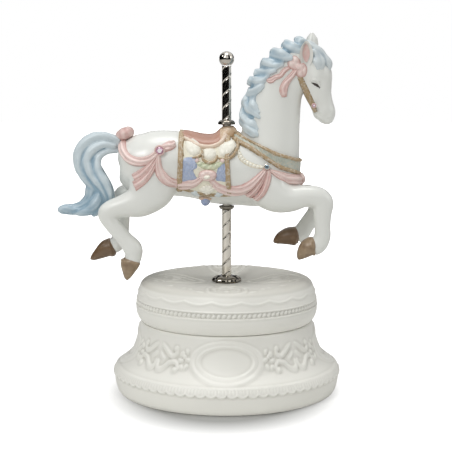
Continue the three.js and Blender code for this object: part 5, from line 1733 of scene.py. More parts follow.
@dataclass
class Maps:
    """Relief maps of the horse, shared by everything that lies on it."""

    near: Relief
    far: Relief
    girth: Relief
    chest: Relief

    @classmethod
    def of(cls, cloud: Array, trunk: Array) -> "Maps":
        """Reads the maps from surface points in the horse's frame.

        Args:
            cloud: Points of the whole fused body.
            trunk: Points of the body and neck alone, for the view round the chest.

        Returns:
            The maps.
        """
        wide = {"low": (-90.0, -42.0), "high": (60.0, 92.0)}
        return cls(
            Relief(View.NEAR, **wide).read(cloud),
            Relief(View.FAR, **wide).read(cloud),
            Relief(View.GIRTH, (-32.0, -47.2), (12.0, 47.2), middle=18.0).read(cloud),
            Relief(View.CHEST, (-47.2, 2.0), (47.2, 44.0), middle=17.0).read(trunk))

    def carried(self, points: Stations, to: Relief) -> Array:
        """Points [x, z] seen from the near side, as coordinates of a round map."""
        x, z = np.asarray(points, float).T
        u, v, _ = to.chart(self.near.point(x, z, self.near.height(x, z)))
        return np.stack([u, v], 1)

    def sides(self) -> tuple[Relief, Relief]:
        """The two side maps."""
        return self.near, self.far

    def on_both(self, make: Callable[[Relief], Shell]) -> Shell:
        """What make builds on each of the two side maps, as one shell."""
        return merge([make(view) for view in self.sides()])


def circle(x: float, z: float, rx: float, rz: float, count: int = 10, turn: float = 0.0) -> Array:
    """Points round an oval [x + rx cos a, z + rz sin a], turned by an angle in radians."""
    a = angles(count)[0]
    p, q = rx * np.cos(a), rz * np.sin(a)
    return np.stack([x + p * math.cos(turn) - q * math.sin(turn),
                     z + p * math.sin(turn) + q * math.cos(turn)], 1)


@dataclass
class Saddle:
    """Saddle, its cloth with borders and panels, shells, garland, rosette and girth bead.

    Outlines and paths are points [x, z] seen from the near side, in the horse's frame.
    """

    back: float = -23.7
    front: float = 2.4
    cloth: float = 0.7
    drop: float = 36.0                 # arc from the back's top to the cloth's lower edge
    edge: float = 1.35                 # how far the rear border lies inside the edge
    front_edge: float = 1.0            # and the front one
    rear_bow: float = 1.0              # how far the rear edge bends outwards at its ends
    front_bow: float = 1.2             # how far the front edge bends inwards
    skirt: float = 1.35                # thickness of the seat at its foot
    collar_r: float = 4.9              # the seat is flat within this radius of the pole
    collar_z: float = 38.4
    seat_low: Stations = ((-22.5, 33.2), (-19.5, 31.6), (-15.9, 29.8), (-11, 28.2),
                          (-6.1, 28.4), (-2.2, 30.2), (1.7, 32.4), (6.4, 34.4))
    seat_rise: tuple[float, ...] = (1.0, 1.7, 1.5, 0.9, 1.3, 3.6, 4.9, 1.6)
    seat_split: float = 0.69           # share of the seat's length where the pommel begins
    roll: Stations = ((-21.6, 32.3), (-18.6, 30.9), (-14, 28.7), (-8.1, 28.0), (-3, 29.8),
                      (0.0, 33.0), (1.4, 35.6))
    panels: tuple[Stations, ...] = (
        ((-20.8, 22.8), (-17.5, 23.4), (-14.9, 23.3), (-14.4, 18.8), (-16.2, 17.4), (-15.0, 14.6),
         (-14, 12.4), (-17.6, 11.6), (-21.8, 11.8), (-21.4, 17.6)),
        ((-3.2, 20.6), (-1.2, 20.6), (0.4, 19.6), (0.2, 16.0), (-0.3, 12.2), (-2.8, 12.2),
         (-5.2, 12.8), (-4.7, 16.8)))
    shells: tuple[Stations, ...] = (
        ((-20.6, 30.2), (-19.0, 31.6), (-16.6, 31.8), (-13.4, 29.8), (-12.6, 27.2), (-13.6, 24.9),
         (-16.6, 24.2), (-19.6, 26.6)),
        ((-11.7, 26.4), (-10.2, 27.4), (-8.1, 27.5), (-6.0, 27.2), (-4.9, 25.6), (-6.0, 23.0),
         (-8.6, 22.0), (-11.0, 23.4)),
        ((-4.0, 26.0), (-3.6, 28.4), (-1.4, 29.8), (0.9, 30.8), (3.6, 31.0), (4.3, 28.4),
         (2.6, 25.8), (0.2, 24.0), (-2.6, 23.8)))
    scrolls: tuple[tuple[Stations, tuple[float, ...]], ...] = (
        (((-21.2, 23.8), (-22.0, 27.2), (-21.9, 30.4), (-20.2, 32.6)), (0.5, 0.9, 0.9, 0.4)),
        (((-16.8, 23.0), (-13.4, 23.8), (-11.8, 25.4), (-12.2, 27.4)), (0.4, 0.7, 0.7, 0.35)),
        (((-11.8, 25.2), (-11.4, 22.4), (-8.8, 20.9), (-5.6, 21.8), (-4.4, 24.4)),
         (0.4, 0.7, 0.8, 0.7, 0.4)),
        (((-5.0, 23.4), (-2.2, 22.6), (1.0, 22.8), (3.8, 25.0), (5.5, 28.4), (4.9, 31.4),
          (2.8, 32.2)), (0.4, 0.7, 0.75, 0.85, 0.85, 0.7, 0.4)))
    garland: Stations = ((-15.0, 21.6), (-12, 19.8), (-8.1, 18.8), (-4.2, 19.8), (-0.6, 22.0))
    rosette: tuple[float, float] = (-9.2, 15.0)
    bead: tuple[float, float] = (-10.5, 1.4)

    def edges(self, rear_in: float, front_in: float) -> tuple[Stations, Stations]:
        """Rear and front edge of the cloth, moved inwards, as points of the girth map.

        With k from -1 to 1 over the back, the rear edge lies at back + inset - bow |k|^3 and
        the front one at front - inset - bow sin(pi |k|).
        """
        over = np.linspace(-1.0, 1.0, 9)
        rear = [[self.back + rear_in - self.rear_bow * abs(k) ** 3, k * self.drop] for k in over]
        front = [[self.front - front_in - self.front_bow * math.sin(math.pi * abs(k)),
                  k * self.drop] for k in over]
        return rear, front

    def sheet(self, maps: Maps) -> Shell:
        """Cloth over the back, from one lower edge round to the other."""
        rear, front = self.edges(0.0, 0.0)
        return strip(maps.girth, rear, front, 220, 48, dome(self.cloth, 16, 0.01))

    def borders(self, maps: Maps) -> Shell:
        """Gold borders along the cloth's four edges, each with a groove on both sides."""
        def rope(t: Array, s: Array) -> Array:
            """Flat top 0.75 mm high, with three soft waves across."""
            return 0.75 * (1 - np.abs(s) ** 5) * (0.8 + 0.2 * np.cos(3 * math.pi * s)) + 0 * t
        widths = ([1.5, 1.3, 1.2, 1.3, 1.5], [1.3, 1.2, 1.2, 1.2, 1.3])
        shells = [ribbon(maps.girth, line, half, 200, 13, rope, self.cloth)
                  for line, half in zip(self.edges(self.edge, self.front_edge), widths)]
        for sign in (-1, 1):
            low = [[x, sign * (self.drop - d)] for x, d in (
                (self.back - 0.9, 2.0), (-19.0, 1.0), (-14.1, 0.0), (-10.0, -0.5), (-6.0, 0.0),
                (-1.6, 0.2), (2.6, 0.6))]
            shells.append(ribbon(maps.girth, low, [1.1, 1.0, 0.9, 1.0, 1.1], 60, 11, rope, 0.5))
        return merge(shells)

    def seat_part(self, maps: Maps, start: float, end: float) -> Shell:
        """Padded seat between two shares of its length, flat where the collar stands on it.

        Its rise is skirt (1 - |s|^10) + (crest(t) - skirt) cos(pi s / 2)^2.
        """
        fine = 160
        left = spline(maps.carried(self.seat_low, maps.girth), fine)
        k0, k1 = int(start * (fine - 1)), int(end * (fine - 1))
        left = left[k0:k1 + 1]
        left = np.stack([left[:, 0], -np.abs(left[:, 1])], 1)
        crest_line = spline([[k] for k in self.seat_rise], fine)

        def lift(t: Array, s: Array) -> Array:
            """Height of the seat above the back."""
            crest = np.interp(t * (k1 - k0) + k0, np.arange(fine), crest_line[:, 0])
            side = self.skirt * (1 - np.abs(s) ** 10)
            return side + (crest - self.skirt) * np.cos(math.pi * s / 2) ** 2
        shell = strip(maps.girth, left, left * (1, -1), 70, 60, lift)
        x, y, z = shell.points.T
        shell.points[:, 2] = np.where(np.hypot(x, y) < self.collar_r,
                                      np.minimum(z, self.collar_z), z)
        return shell

    def seat(self, maps: Maps) -> tuple[Shell, Shell]:
        """The rose seat and the tan pommel in front of it."""
        return (self.seat_part(maps, 0.0, self.seat_split),
                self.seat_part(maps, self.seat_split, 1.0))

    def near_side(self, maps: Maps, points: Stations) -> Array:
        """Points [x, z] of the near side on the girth map."""
        uv = maps.carried(points, maps.girth)
        return np.stack([uv[:, 0], -np.abs(uv[:, 1])], 1)

    def both(self, maps: Maps, path: Stations, widths: Sequence[float], rows: int, across: int,
             lift: Surface, base: float) -> list[Shell]:
        """A ribbon on the cloth, and its mirror image."""
        uv = self.near_side(maps, path)
        return [ribbon(maps.girth, uv * (1, sign), widths, rows, across, lift, base)
                for sign in (1, -1)]

    def seat_edge(self, maps: Maps) -> Shell:
        """Peach roll round the foot of the seat, rising to the collar in front."""
        return merge(self.both(maps, self.roll, [0.8, 1.1, 1.1, 1.1, 1.15, 1.1, 0.6], 80, 13,
                               dome(1.0, 3, 0.03), 1.0))

    def on_cloth(self, maps: Maps, outline: Stations, height: float, base: float,
                 wave: Surface | None = None, power: float = 3.0) -> Shell:
        """A raised patch on the cloth with its mirror image, as one shell."""
        ring = self.near_side(maps, outline)
        return merge([pad(maps.girth, ring * (1, sign), height, power, base=base, wave=wave)
                      for sign in (1, -1)])

    def panel_set(self, maps: Maps) -> Shell:
        """Blue brocade panels, embossed with leaves."""
        def leaf(r: Array, a: Array) -> Array:
            """Five leaves that curl outwards from the middle."""
            return 0.16 * np.cos(5 * a + 7 * r) * np.sin(math.pi * r)
        return merge([self.on_cloth(maps, row, 0.45, self.cloth, leaf) for row in self.panels])

    def shell_set(self, maps: Maps) -> Shell:
        """Cream scallop shells with rays."""
        def rays(r: Array, a: Array) -> Array:
            """Eight rays that grow towards the rim and end before it."""
            return 0.13 * r * np.cos(8 * a) * (1 - r**6)
        return merge([self.on_cloth(maps, row, 1.0, self.cloth, rays, 4) for row in self.shells])

    def shell_edges(self, maps: Maps) -> Shell:
        """Tan scrolls round the shells."""
        shells = []
        for path, widths in self.scrolls:
            shells += self.both(maps, path, widths, 50, 9, dome(1.1, 2, 0.1), self.cloth)
        return merge(shells)

    def garland_set(self, maps: Maps) -> Shell:
        """Leafy garland between the panels."""
        def leaves(t: Array, s: Array) -> Array:
            """Six leaves along the garland, each slanted across it."""
            return 1.1 * (1 - s**2) * (0.7 + 0.3 * np.cos(FULL * 6 * t + 2.2 * s)) * closing(
                t, 0.08)
        return merge(self.both(maps, self.garland, [0.6, 1.3, 1.5, 1.3, 0.6], 90, 13, leaves,
                               self.cloth))

    def tufts(self, maps: Maps) -> Shell:
        """Pale tuft of leaves under the rosette."""
        return self.on_cloth(
            maps, ((-13.2, 8.2), (-11.6, 9.8), (-9.2, 10.4), (-6.8, 9.6), (-5.5, 8.2), (-7.4, 6.4),
                   (-9.4, 5.4), (-11.6, 6.4)), 1.3, self.cloth,
            lambda r, a: 0.22 * r * np.cos(9 * a))

    def leaves(self, maps: Maps) -> Shell:
        """Blue-grey scrolls on both sides of the girth bead."""
        return merge([self.on_cloth(maps, circle(x, z, 2.4, 1.2, 10, lean), 0.9, self.cloth,
                                    lambda r, a: 0.2 * r * np.cos(4 * a))
                      for x, z, lean in ((-15.4, 6.2, -0.3), (-3.8, 5.6, 0.2))])

    def blossoms(self, maps: Maps) -> Shell:
        """Small flowers at the ends of the garland."""
        def petals(r: Array, a: Array) -> Array:
            """Five petals between the middle and the rim."""
            return 0.3 * np.cos(5 * a) * r * (1 - r)
        return merge([self.on_cloth(maps, circle(x, z, r, r), 1.2, self.cloth, petals)
                      for x, z, r in ((-2.0, 21.8, 1.3), (-14.4, 21.9, 1.1))])

    def rosette_set(self, maps: Maps) -> Shell:
        """Pink ring of gathered ribbon over the swag's middle."""
        x, z = self.rosette

        def folds(r: Array, a: Array) -> Array:
            """Seven folds round a sunken middle."""
            return 0.22 * r * np.cos(7 * a) * (1 - r**4) - 0.6 * (1 - r**2) ** 3
        return self.on_cloth(maps, circle(x, z, 4.5, 2.8, 12), 2.2, self.cloth, folds, 4)

    def knot(self, maps: Maps) -> Shell:
        """Cream button of the rosette."""
        x, z = self.rosette
        return self.on_cloth(maps, circle(x - 0.3, z - 0.5, 2.1, 1.15), 3.2, self.cloth)

    def beads(self, maps: Maps) -> tuple[Shell, Shell]:
        """Blue bead under the belly line, and the pale calyx that holds it."""
        x, z = self.bead
        spots = []
        for view in maps.sides():
            out = view.height(np.array([x]), np.array([z + 1.8])) - 0.3
            spots.append(view.point(np.array([x]), np.array([z]), out)[0])
        return (merge([egg(at, (2.3, 2.3, 2.4), 22, 30) for at in spots]),
                merge([egg(at + (0, 0, 1.5), (3.4, 1.9, 1.5), 18, 28) for at in spots]))


@dataclass
class Ribbons:
    """Pink ribbon swags and bows, and the breast band with its gold edges and lace.

    Paths are points [x, z] seen from the side. A swag is (path, half widths), a tail is
    (left edge, right edge), and the rolled bow is (x, z, three half axes).
    """

    swags: tuple[tuple[Stations, tuple[float, ...]], ...] = (
        (((-51.6, 31.2), (-50.8, 26.2), (-47.8, 22.7), (-42.9, 21.4), (-37.9, 22.4),
          (-34.2, 25.0), (-32.4, 26.9)), (1.7, 2.2, 2.3, 2.0, 1.4)),
        (((-32.8, 26.6), (-29.8, 28.2), (-27.0, 29.3), (-25.0, 29.8)), (1.5, 2.1, 2.2, 1.3)),
        (((-33.4, 25.4), (-33.2, 18.3), (-31.3, 14.4), (-28.2, 11.6), (-23.6, 10.3)),
         (1.0, 2.0, 2.5, 2.3, 2.2)),
        (((-24.4, 10.2), (-19.9, 10.2), (-15.6, 11.3), (-11.6, 13.9)), (2.1, 2.6, 2.2, 1.3)),
        (((-8.4, 13.6), (-4.4, 9.4), (0.7, 7.3), (6.6, 7.3), (11.6, 9.8), (15.5, 13.3),
          (19.4, 17.6)), (1.2, 2.3, 2.6, 2.5, 2.0, 1.1)))
    tails: tuple[tuple[Stations, Stations], ...] = (
        (((-34.6, 24.6), (-38.6, 20.4), (-43.0, 17.4), (-46.6, 15.2)),
         ((-33.2, 24.2), (-36.2, 18.6), (-40.2, 13.9), (-44.2, 11.0))),
        (((-34.0, 24.0), (-38.4, 17.6), (-42.6, 14.0), (-46.2, 11.8)),
         ((-32.8, 23.6), (-34.8, 17.6), (-38.6, 11.6), (-44.2, 7.0))),
        (((18.9, 17.6), (15.6, 11.4), (11.4, 7.0), (7.6, 5.8)),
         ((20.0, 17.2), (18.2, 11.0), (15.6, 6.6), (12.2, 3.0))),
        (((19.4, 17.6), (18.0, 11.2), (15.4, 6.0), (12.6, 3.6)),
         ((21.4, 17.6), (21.8, 12.6), (19.4, 6.0), (15.4, 1.6))))
    band_top: Stations = ((3.8, 35.0), (6.2, 33.6), (9.6, 31.8), (15.4, 29.2), (21.3, 26.4),
                          (25.6, 24.5))
    band_low: Stations = ((3.8, 32.0), (6.2, 30.6), (11.5, 27.8), (17.3, 24.2), (23.2, 20.4),
                          (27.2, 18.2))
    front: tuple[float, float] = (21.2, 14.6)          # the band's edges in front of the chest
    rims: tuple[float, float] = (0.85, 1.0)
    lace: Stations = ((5.6, 27.2), (6.9, 23.6), (9.5, 21.2), (13.4, 19.4), (18.2, 18.5))
    chest_top: Stations = ((20.6, 17.8), (24.4, 17.0), (28.2, 16.0), (31.4, 15.2))
    chest_low: Stations = ((21.2, 16.2), (24.6, 13.4), (28.0, 11.6), (31.6, 10.0))
    chest_front: tuple[float, float] = (14.4, 9.2)     # the broad ribbon's edges there
    bow_z: float = 12.2
    tail_shade: float = -0.2           # the tails are this much deeper in colour
    roll: tuple[float, float, float, float, float] = (-50.7, 34.3, 4.8, 6.6, 3.3)
    roll_lean: float = 0.42            # radians

    def swag_set(self, maps: Maps) -> Shell:
        """Gathered swags on both sides."""
        return maps.on_both(lambda view: merge([
            ribbon(view, path, widths, 90, 25, pleats(1.9, 2.4, 1.6, 0.05, 0.36))
            for path, widths in self.swags]))

    def tail_set(self, maps: Maps) -> Shell:
        """Tails that fan out from the crystals."""
        tails = maps.on_both(lambda view: merge([
            strip(view, left, right, 60, 27, pleats(1.6, 2.3, 0.8, 0.05, 0.4))
            for left, right in self.tails]))
        tails.shade = tails.shade + self.tail_shade
        return tails

    def roll_set(self) -> Shell:
        """Rolled bow on the root of the tail: a boxy egg with a soft groove round it.

        With p the point of a unit sphere, each coordinate becomes sign(p) |p|^0.9, shrunk
        where the groove runs.
        """
        x, z, rx, ry, rz = self.roll
        ball = egg((0, 0, 0), (1, 1, 1), 48, 64)
        boxy = np.sign(ball.points) * np.abs(ball.points) ** 0.9
        groove = (1 - 0.05 * ring_wave(boxy[:, 0] - 0.25, 0.25)
                  - 0.04 * ring_wave(boxy[:, 0] + 0.45, 0.22))
        p, q, r = (boxy * (rx, ry, rz) * groove[:, None]).T
        c, d = math.cos(self.roll_lean), math.sin(self.roll_lean)
        # painted shade: the grooves take the pink's deeper colour
        ball.shade = (groove - 1) * 6 + 0.05
        ball.points = np.stack([p * c - r * d + x, q, p * d + r * c + z], 1)
        return ball

    def chest_line(self, maps: Maps, line: Stations, front: float) -> Array:
        """The near side's last two points of a line, carried round the chest to the far side."""
        near = maps.carried(line[-2:], maps.chest)
        near[:, 0] = -np.abs(near[:, 0])
        return np.vstack([near, [[0.0, front]], near[::-1] * (-1, 1)])

    def band_parts(self, maps: Maps) -> list[tuple[Relief, Array, Array]]:
        """The strap's three stretches: both sides, and the front of the chest."""
        edges = (np.array(self.band_top), np.array(self.band_low))
        ahead = [self.chest_line(maps, line, z) for line, z in zip(edges, self.front)]
        return [*((view, *edges) for view in maps.sides()), (maps.chest, *ahead)]

    def band(self, maps: Maps) -> Shell:
        """Grey-green strap across the chest, with faint marks along it."""
        def lift(t: Array, s: Array) -> Array:
            """Flat top 0.85 mm high, with twelve faint marks along the middle."""
            marks = 0.1 * np.cos(FULL * 12 * t) * np.cos(math.pi * s * 0.5) ** 2
            return (0.85 + marks) * (1 - np.abs(s) ** 12)
        return merge([strip(view, top, low, 120, 25, lift)
                      for view, top, low in self.band_parts(maps)])

    def band_rims(self, maps: Maps) -> Shell:
        """Gold rolls along both edges of the strap."""
        def roll(t: Array, s: Array) -> Array:
            """Round top with a fine beading."""
            return 0.85 * (1 - s**2) + 0.05 * np.cos(FULL * 24 * t)
        return merge([ribbon(view, line, [half] * 3, 130, 11, roll, 0.7)
                      for view, *lines in self.band_parts(maps)
                      for line, half in zip(lines, self.rims)])

    def lace_set(self, maps: Maps) -> Shell:
        """String of small cream scallops from the saddle to the chest crystal."""
        def scallops(t: Array, s: Array) -> Array:
            """Round top in ten scallops."""
            return 1.1 * (1 - s**2) * (0.4 + 0.6 * np.abs(np.sin(math.pi * 10 * t)))
        return maps.on_both(lambda view: ribbon(
            view, self.lace, [0.7, 1.15, 1.1, 1.0, 0.6], 140, 11, scallops))

    def front_set(self, maps: Maps) -> Shell:
        """Broad ribbon round the front of the chest, and the rolled bow in its middle."""
        edges = (self.chest_top, self.chest_low)
        shells = [strip(view, *edges, 60, 27, pleats(1.7, 2.4, 0.8, 0.05, 0.4))
                  for view in maps.sides()]
        ahead = [self.chest_line(maps, line, z) for line, z in zip(edges, self.chest_front)]
        shells.append(strip(maps.chest, *ahead, 90, 25, pleats(1.7, 2.4, 0.8, 0.02, 0.4)))
        shells += [pad(maps.chest, circle(u, self.bow_z, 1.9, 3.7, 12, lean), 2.9, 2.4, 16, 60,
                       wave=lambda r, a: 0.2 * r * np.cos(6 * a))
                   for u, lean in ((-1.8, 0.2), (1.8, -0.2))]
        return merge(shells)


@dataclass
class Bridle:
    """Cheek strap, bow with tails, and closed eyes with lashes."""

    strap: Stations = ((35.9, 62.6), (37.6, 58.6), (39.5, 55.0), (41.2, 51.6), (42.8, 48.6),
                       (44.1, 45.2))
    loops: tuple[Stations, ...] = (
        ((35.9, 67.2), (36.4, 69.6), (35.2, 71.7), (33.2, 72.9), (31.0, 72.0), (29.8, 69.8),
         (30.2, 67.4), (32.6, 65.8), (34.6, 65.6)),
        ((34.6, 68.6), (33.6, 66.2), (34.2, 63.2), (36.4, 61.9), (38.6, 62.9), (39.5, 65.4),
         (39.0, 68.0), (37.0, 69.6)))
    tails: tuple[tuple[Stations, tuple[float, ...]], ...] = (
        (((31.2, 67.2), (28.4, 65.8), (26.4, 63.2), (23.8, 62.2), (21.6, 60.8), (19.4, 61.2)),
         (0.9, 1.3, 1.2, 1.3, 1.5, 0.7)),
        (((34.4, 66.6), (32.2, 63.4), (29.4, 60.0), (27.9, 56.4), (28.3, 52.6)),
         (0.9, 1.4, 1.6, 2.0, 2.1, 1.2)))
    bow_shade: float = -0.15           # the bow is this much deeper in colour
    lash: Stations = ((41.6, 59.7), (43.0, 59.1), (44.5, 58.3), (45.9, 57.2))
    lid: Stations = ((40.6, 60.0), (42.6, 61.1), (44.8, 60.2), (45.9, 57.9))
    hairs: tuple[Stations, ...] = (
        ((43.0, 59.0), (43.3, 58.1)), ((44.0, 58.6), (44.5, 57.5)), ((45.0, 58.0), (45.7, 56.8)))

    def strap_set(self, maps: Maps) -> Shell:
        """Tan cheek straps with a fine ridge."""
        def lift(t: Array, s: Array) -> Array:
            """Flat top 0.75 mm high, with a ridge along the middle."""
            return 0.75 * (1 - np.abs(s) ** 5) * (0.86 + 0.14 * np.cos(2 * math.pi * s)) + 0 * t
        return maps.on_both(lambda view: ribbon(
            view, self.strap, [1.3, 1.55, 1.5, 1.3, 0.9], 60, 13, lift))

    def bow_set(self, maps: Maps) -> Shell:
        """Folded bow loops and wavy tails."""
        shells = []
        for view in maps.sides():
            shells += [ribbon(view, path, widths, 70, 19, pleats(1.3, 2.2, 1.4, 0.1, 0.38))
                       for path, widths in self.tails]
            shells += [pad(view, row, 1.15, 5.0, 20, 72, wave=lambda r, a: (
                0.25 * np.sin(math.pi * r) * np.cos(3 * a + 0.9))) for row in self.loops]
            shells.append(pad(view, circle(34.8, 67.3, 1.9, 1.7), 1.45, 3, 12, 40))
        bow = merge(shells)
        bow.shade = bow.shade + self.bow_shade
        return bow

    def lids(self, maps: Maps) -> Shell:
        """Smooth upper lids."""
        return maps.on_both(lambda view: ribbon(
            view, self.lid, [0.5, 0.9, 0.5], 30, 11, dome(0.45, 2, 0.4)))

    def lashes(self, maps: Maps) -> Shell:
        """Painted lash line and three lashes."""
        shells = []
        for view in maps.sides():
            shells.append(ribbon(view, self.lash, [0.14, 0.5, 0.55, 0.16], 40, 9,
                                 dome(0.14, 2, 0.1), 0.1))
            shells += [ribbon(view, row, [0.24, 0.08], 12, 7, dome(0.12, 2, 0.2), 0.1)
                       for row in self.hairs]
        return merge(shells)


@dataclass
class Stone:
    """Cut crystal in a thin bright setting, facing along the horse's side.

    Attributes:
        radius: Radius of the girdle.
        facets: Corners of the table.
        rings: Rows of [share of the radius, height above the girdle].
    """

    radius: float = 2.0
    facets: int = 8
    rings: Stations = ((0.05, -0.8), (1.0, 0.0), (0.98, 0.25), (0.78, 0.95), (0.5, 1.5))

    def crystal(self) -> Shell:
        """Brilliant: rings from the culet to the table, each half a step on from the last."""
        ring = np.array(self.rings)
        odd = np.arange(len(ring))[:, None] % 2
        turn = np.arange(self.facets) * (FULL / self.facets) + odd * (FULL / self.facets / 2)
        return skin(around(ring[:, :1] * self.radius, turn, ring[:, 1:]))

    def setting(self) -> Shell:
        """Thin ring that grips the girdle."""
        r = self.radius
        return turned([[r - 0.5, -0.9], [r + 0.36, -0.9], [r + 0.48, -0.2], [r + 0.34, 0.5],
                       [r + 0.02, 0.8], [r - 0.36, 0.7], [r - 0.5, 0.2]], 40)


# ------------------------------------------------------------------ stage


@dataclass
class Studio:
    """Pale floor with a painted contact shadow, soft lamps, and the camera at a low three-quarter
    height in front.
    """

    axis_x: float
    distance: float = 600.0
    height: float = 161.0
    aim_z: float = 82.4
    sensor: float = 36.0
    lens: float = 95.6628
    shift: float = -0.0013274                          # share of the picture's width
    lamp_z: float = 80.0                               # height that the lamps face
    floor_half: float = 3.0                            # in metres
    floor_drop: float = 0.2
    painted_shadow_shift: tuple[float, float] = (0.002, 0.013)  # of the painted contact shadow's middle, in metres
    painted_shadow_oval: tuple[float, float] = (18.2, 14.5)     # one over its half axes in metres
    painted_shadow_fade: tuple[float, float] = (0.72, 1.18)     # share of them over which it fades
    glow_reach: tuple[float, float] = (0.07, 0.5)      # metres over which the floor whitens

    def camera(self) -> None:
        """Places the camera: it looks at the turning axis from the front, slightly above."""
        data = bpy.data.cameras.new("front")
        data.sensor_width, data.lens, data.shift_x = self.sensor, self.lens, self.shift
        data.clip_start, data.clip_end = 0.01, 20.0
        obj = placed("front", data)
        obj.location = (self.axis_x * MM, -self.distance * MM, self.height * MM)
        tilt = math.atan2(self.height - self.aim_z, self.distance)
        obj.rotation_euler = (math.pi / 2 - tilt, 0.0, 0.0)
        bpy.context.scene.camera = obj

    def lamp(self, name: str, at: Sequence[float], size: float, power: float) -> None:
        """Adds one square area lamp that faces the object's middle.

        Args:
            name: Name of the lamp.
            at: Place in millimetres.
            size: Side in millimetres.
            power: Power in watts.
        """
        data = bpy.data.lights.new(name, "AREA")
        data.size, data.energy = size * MM, power
        obj = placed(name, data)
        place = np.asarray(at, float)
        aim = unit(np.array([self.axis_x, 0.0, self.lamp_z]) - place)
        obj.location = tuple(place * MM)
        obj.rotation_euler = (
            math.acos(-aim[2]), 0.0, math.atan2(aim[1], aim[0]) - math.pi / 2)

    def lamps(self) -> None:
        """A large soft lamp in front and above, and weaker ones at the sides."""
        self.lamp("key", (-420, -760, 780), 260, 3.5)
        self.lamp("left", (-950, -180, 900), 300, 1.3)
        self.lamp("right", (900, -300, 520), 300, 1.0)
        self.lamp("top", (20, -60, 1100), 420, 3.6)

    def world(self) -> None:
        """Even pale light; camera, mirror and glass rays see white."""
        world = bpy.data.worlds.new("studio")
        bpy.context.scene.world = world
        world.use_nodes = True
        tree = world.node_tree
        tree.nodes.clear()
        rays = add(tree, "ShaderNodeLightPath")
        light = add(tree, "ShaderNodeBackground", {"Color": linear("#F4F4F2"), "Strength": 0.34})
        seen = add(tree, "ShaderNodeBackground", {"Color": (1.0, 1.0, 1.0, 1.0), "Strength": 1.0})
        mirror = add(tree, "ShaderNodeMath", {
            0: rays.outputs["Is Glossy Ray"], 1: rays.outputs["Is Transmission Ray"]},
            operation="MAXIMUM")
        clear = add(tree, "ShaderNodeMath", {
            0: rays.outputs["Is Camera Ray"], 1: mirror.outputs[0]}, operation="MAXIMUM")
        mix = add(tree, "ShaderNodeMixShader", {
            0: clear.outputs[0], 1: light.outputs[0], 2: seen.outputs[0]})
        add(tree, "ShaderNodeOutputWorld", {"Surface": mix.outputs[0]})

    def floor(self) -> None:
        """White sweep: diffuse, glowing to camera rays enough to stay white; painted shadow near
        the base.
        """
        mesh = bpy.data.meshes.new("floor")
        far = self.floor_half
        mesh.from_pydata([(-far, -far, 0), (far, -far, 0), (far, far, 0), (-far, far, 0)], [],
                         [(0, 1, 2, 3)])
        obj = placed("floor", mesh)
        obj.location.z = -self.floor_drop * MM
        made, tree = blank("Paper_sweep_white")
        rays = add(tree, "ShaderNodeLightPath")
        matt = add(tree, "ShaderNodeBsdfDiffuse", {"Color": linear("#F2F2F0")})
        # painted shadow: camera rays see this darker paper inside the oval near the base, where
        # the glow is low
        seen = add(tree, "ShaderNodeBsdfDiffuse", {"Color": linear("#AAAAA8")})
        place = add(tree, "ShaderNodeTexCoord")
        reach = add(tree, "ShaderNodeVectorMath", {0: place.outputs["Object"]},
                    operation="LENGTH")
        moved = add(tree, "ShaderNodeVectorMath", {
            0: place.outputs["Object"],
            1: (self.painted_shadow_shift[0] - self.axis_x * MM, self.painted_shadow_shift[1], 0.0)},
            operation="ADD")
        oval = add(tree, "ShaderNodeVectorMath", {
            0: moved.outputs[0], 1: (*self.painted_shadow_oval, 0.0)}, operation="MULTIPLY")
        inside = add(tree, "ShaderNodeVectorMath", {0: oval.outputs[0]}, operation="LENGTH")
        near = add(tree, "ShaderNodeMapRange", {
            0: inside.outputs["Value"], 1: self.painted_shadow_fade[0], 2: self.painted_shadow_fade[1],
            3: 0.0, 4: 1.0})
        away = add(tree, "ShaderNodeMapRange", {
            0: reach.outputs["Value"], 1: self.glow_reach[0], 2: self.glow_reach[1],
            3: 0.0, 4: 0.5})
        level = add(tree, "ShaderNodeMath", {0: near.outputs[0], 1: away.outputs[0]},
                    operation="ADD")
        glow = add(tree, "ShaderNodeEmission", {
            "Color": (1.0, 1.0, 1.0, 1.0), "Strength": level.outputs[0]})
        both = add(tree, "ShaderNodeAddShader", {0: seen.outputs[0], 1: glow.outputs[0]})
        mix = add(tree, "ShaderNodeMixShader", {
            0: rays.outputs["Is Camera Ray"], 1: matt.outputs[0], 2: both.outputs[0]})
        add(tree, "ShaderNodeOutputMaterial", {"Surface": mix.outputs[0]})
        mesh.materials.append(made)

    def flag(self, name: str, radius: float, turn: Sequence[float], span: Sequence[float]) -> None:
        """Black studio flag, bent round the object, which only mirrors see.

        Args:
            name: Name of the flag.
            radius: Its distance in metres.
            turn: First and last angle from the right-hand side, in degrees.
            span: Lower and upper edge in metres.
        """
        count = 41
        a = np.radians(np.linspace(turn[0], turn[1], count))
        rim = np.stack([radius * np.cos(a), radius * np.sin(a)], 1)
        points = np.vstack([np.column_stack([rim, np.full(count, z)]) for z in span])
        k = np.arange(count - 1)
        mesh = bpy.data.meshes.new(name)
        mesh.from_pydata(points.tolist(), [],
                         np.stack([k, k + 1, k + count + 1, k + count], 1).tolist())
        obj = placed(name, mesh)
        made, tree = blank("Black_felt")
        felt = add(tree, "ShaderNodeBsdfDiffuse", {"Color": linear("#101010")})
        add(tree, "ShaderNodeOutputMaterial", {"Surface": felt.outputs[0]})
        mesh.materials.append(made)
        for ray in ("camera", "diffuse", "shadow", "transmission"):
            setattr(obj, f"visible_{ray}", False)

    def build(self) -> None:
        """Sets up the whole stage."""
        bpy.context.scene.view_settings.view_transform = "Standard"
        self.world()
        self.lamps()
        self.floor()
        for name, turn, span in (
                ("left_flag", (-225.0, -100.0), (0.03, 0.5)),
                ("front_flag", (-100.0, -25.0), (0.03, 0.42)),
                ("left_frame", (-225.0, -140.0), (0.5, 2.4)),
                ("right_frame", (-62.0, -25.0), (0.42, 2.4)),
                ("back_flag", (30.0, 135.0), (0.25, 0.8))):
            self.flag(name, 1.4, turn, span)
        self.camera()


# ------------------------------------------------------------------ assembly


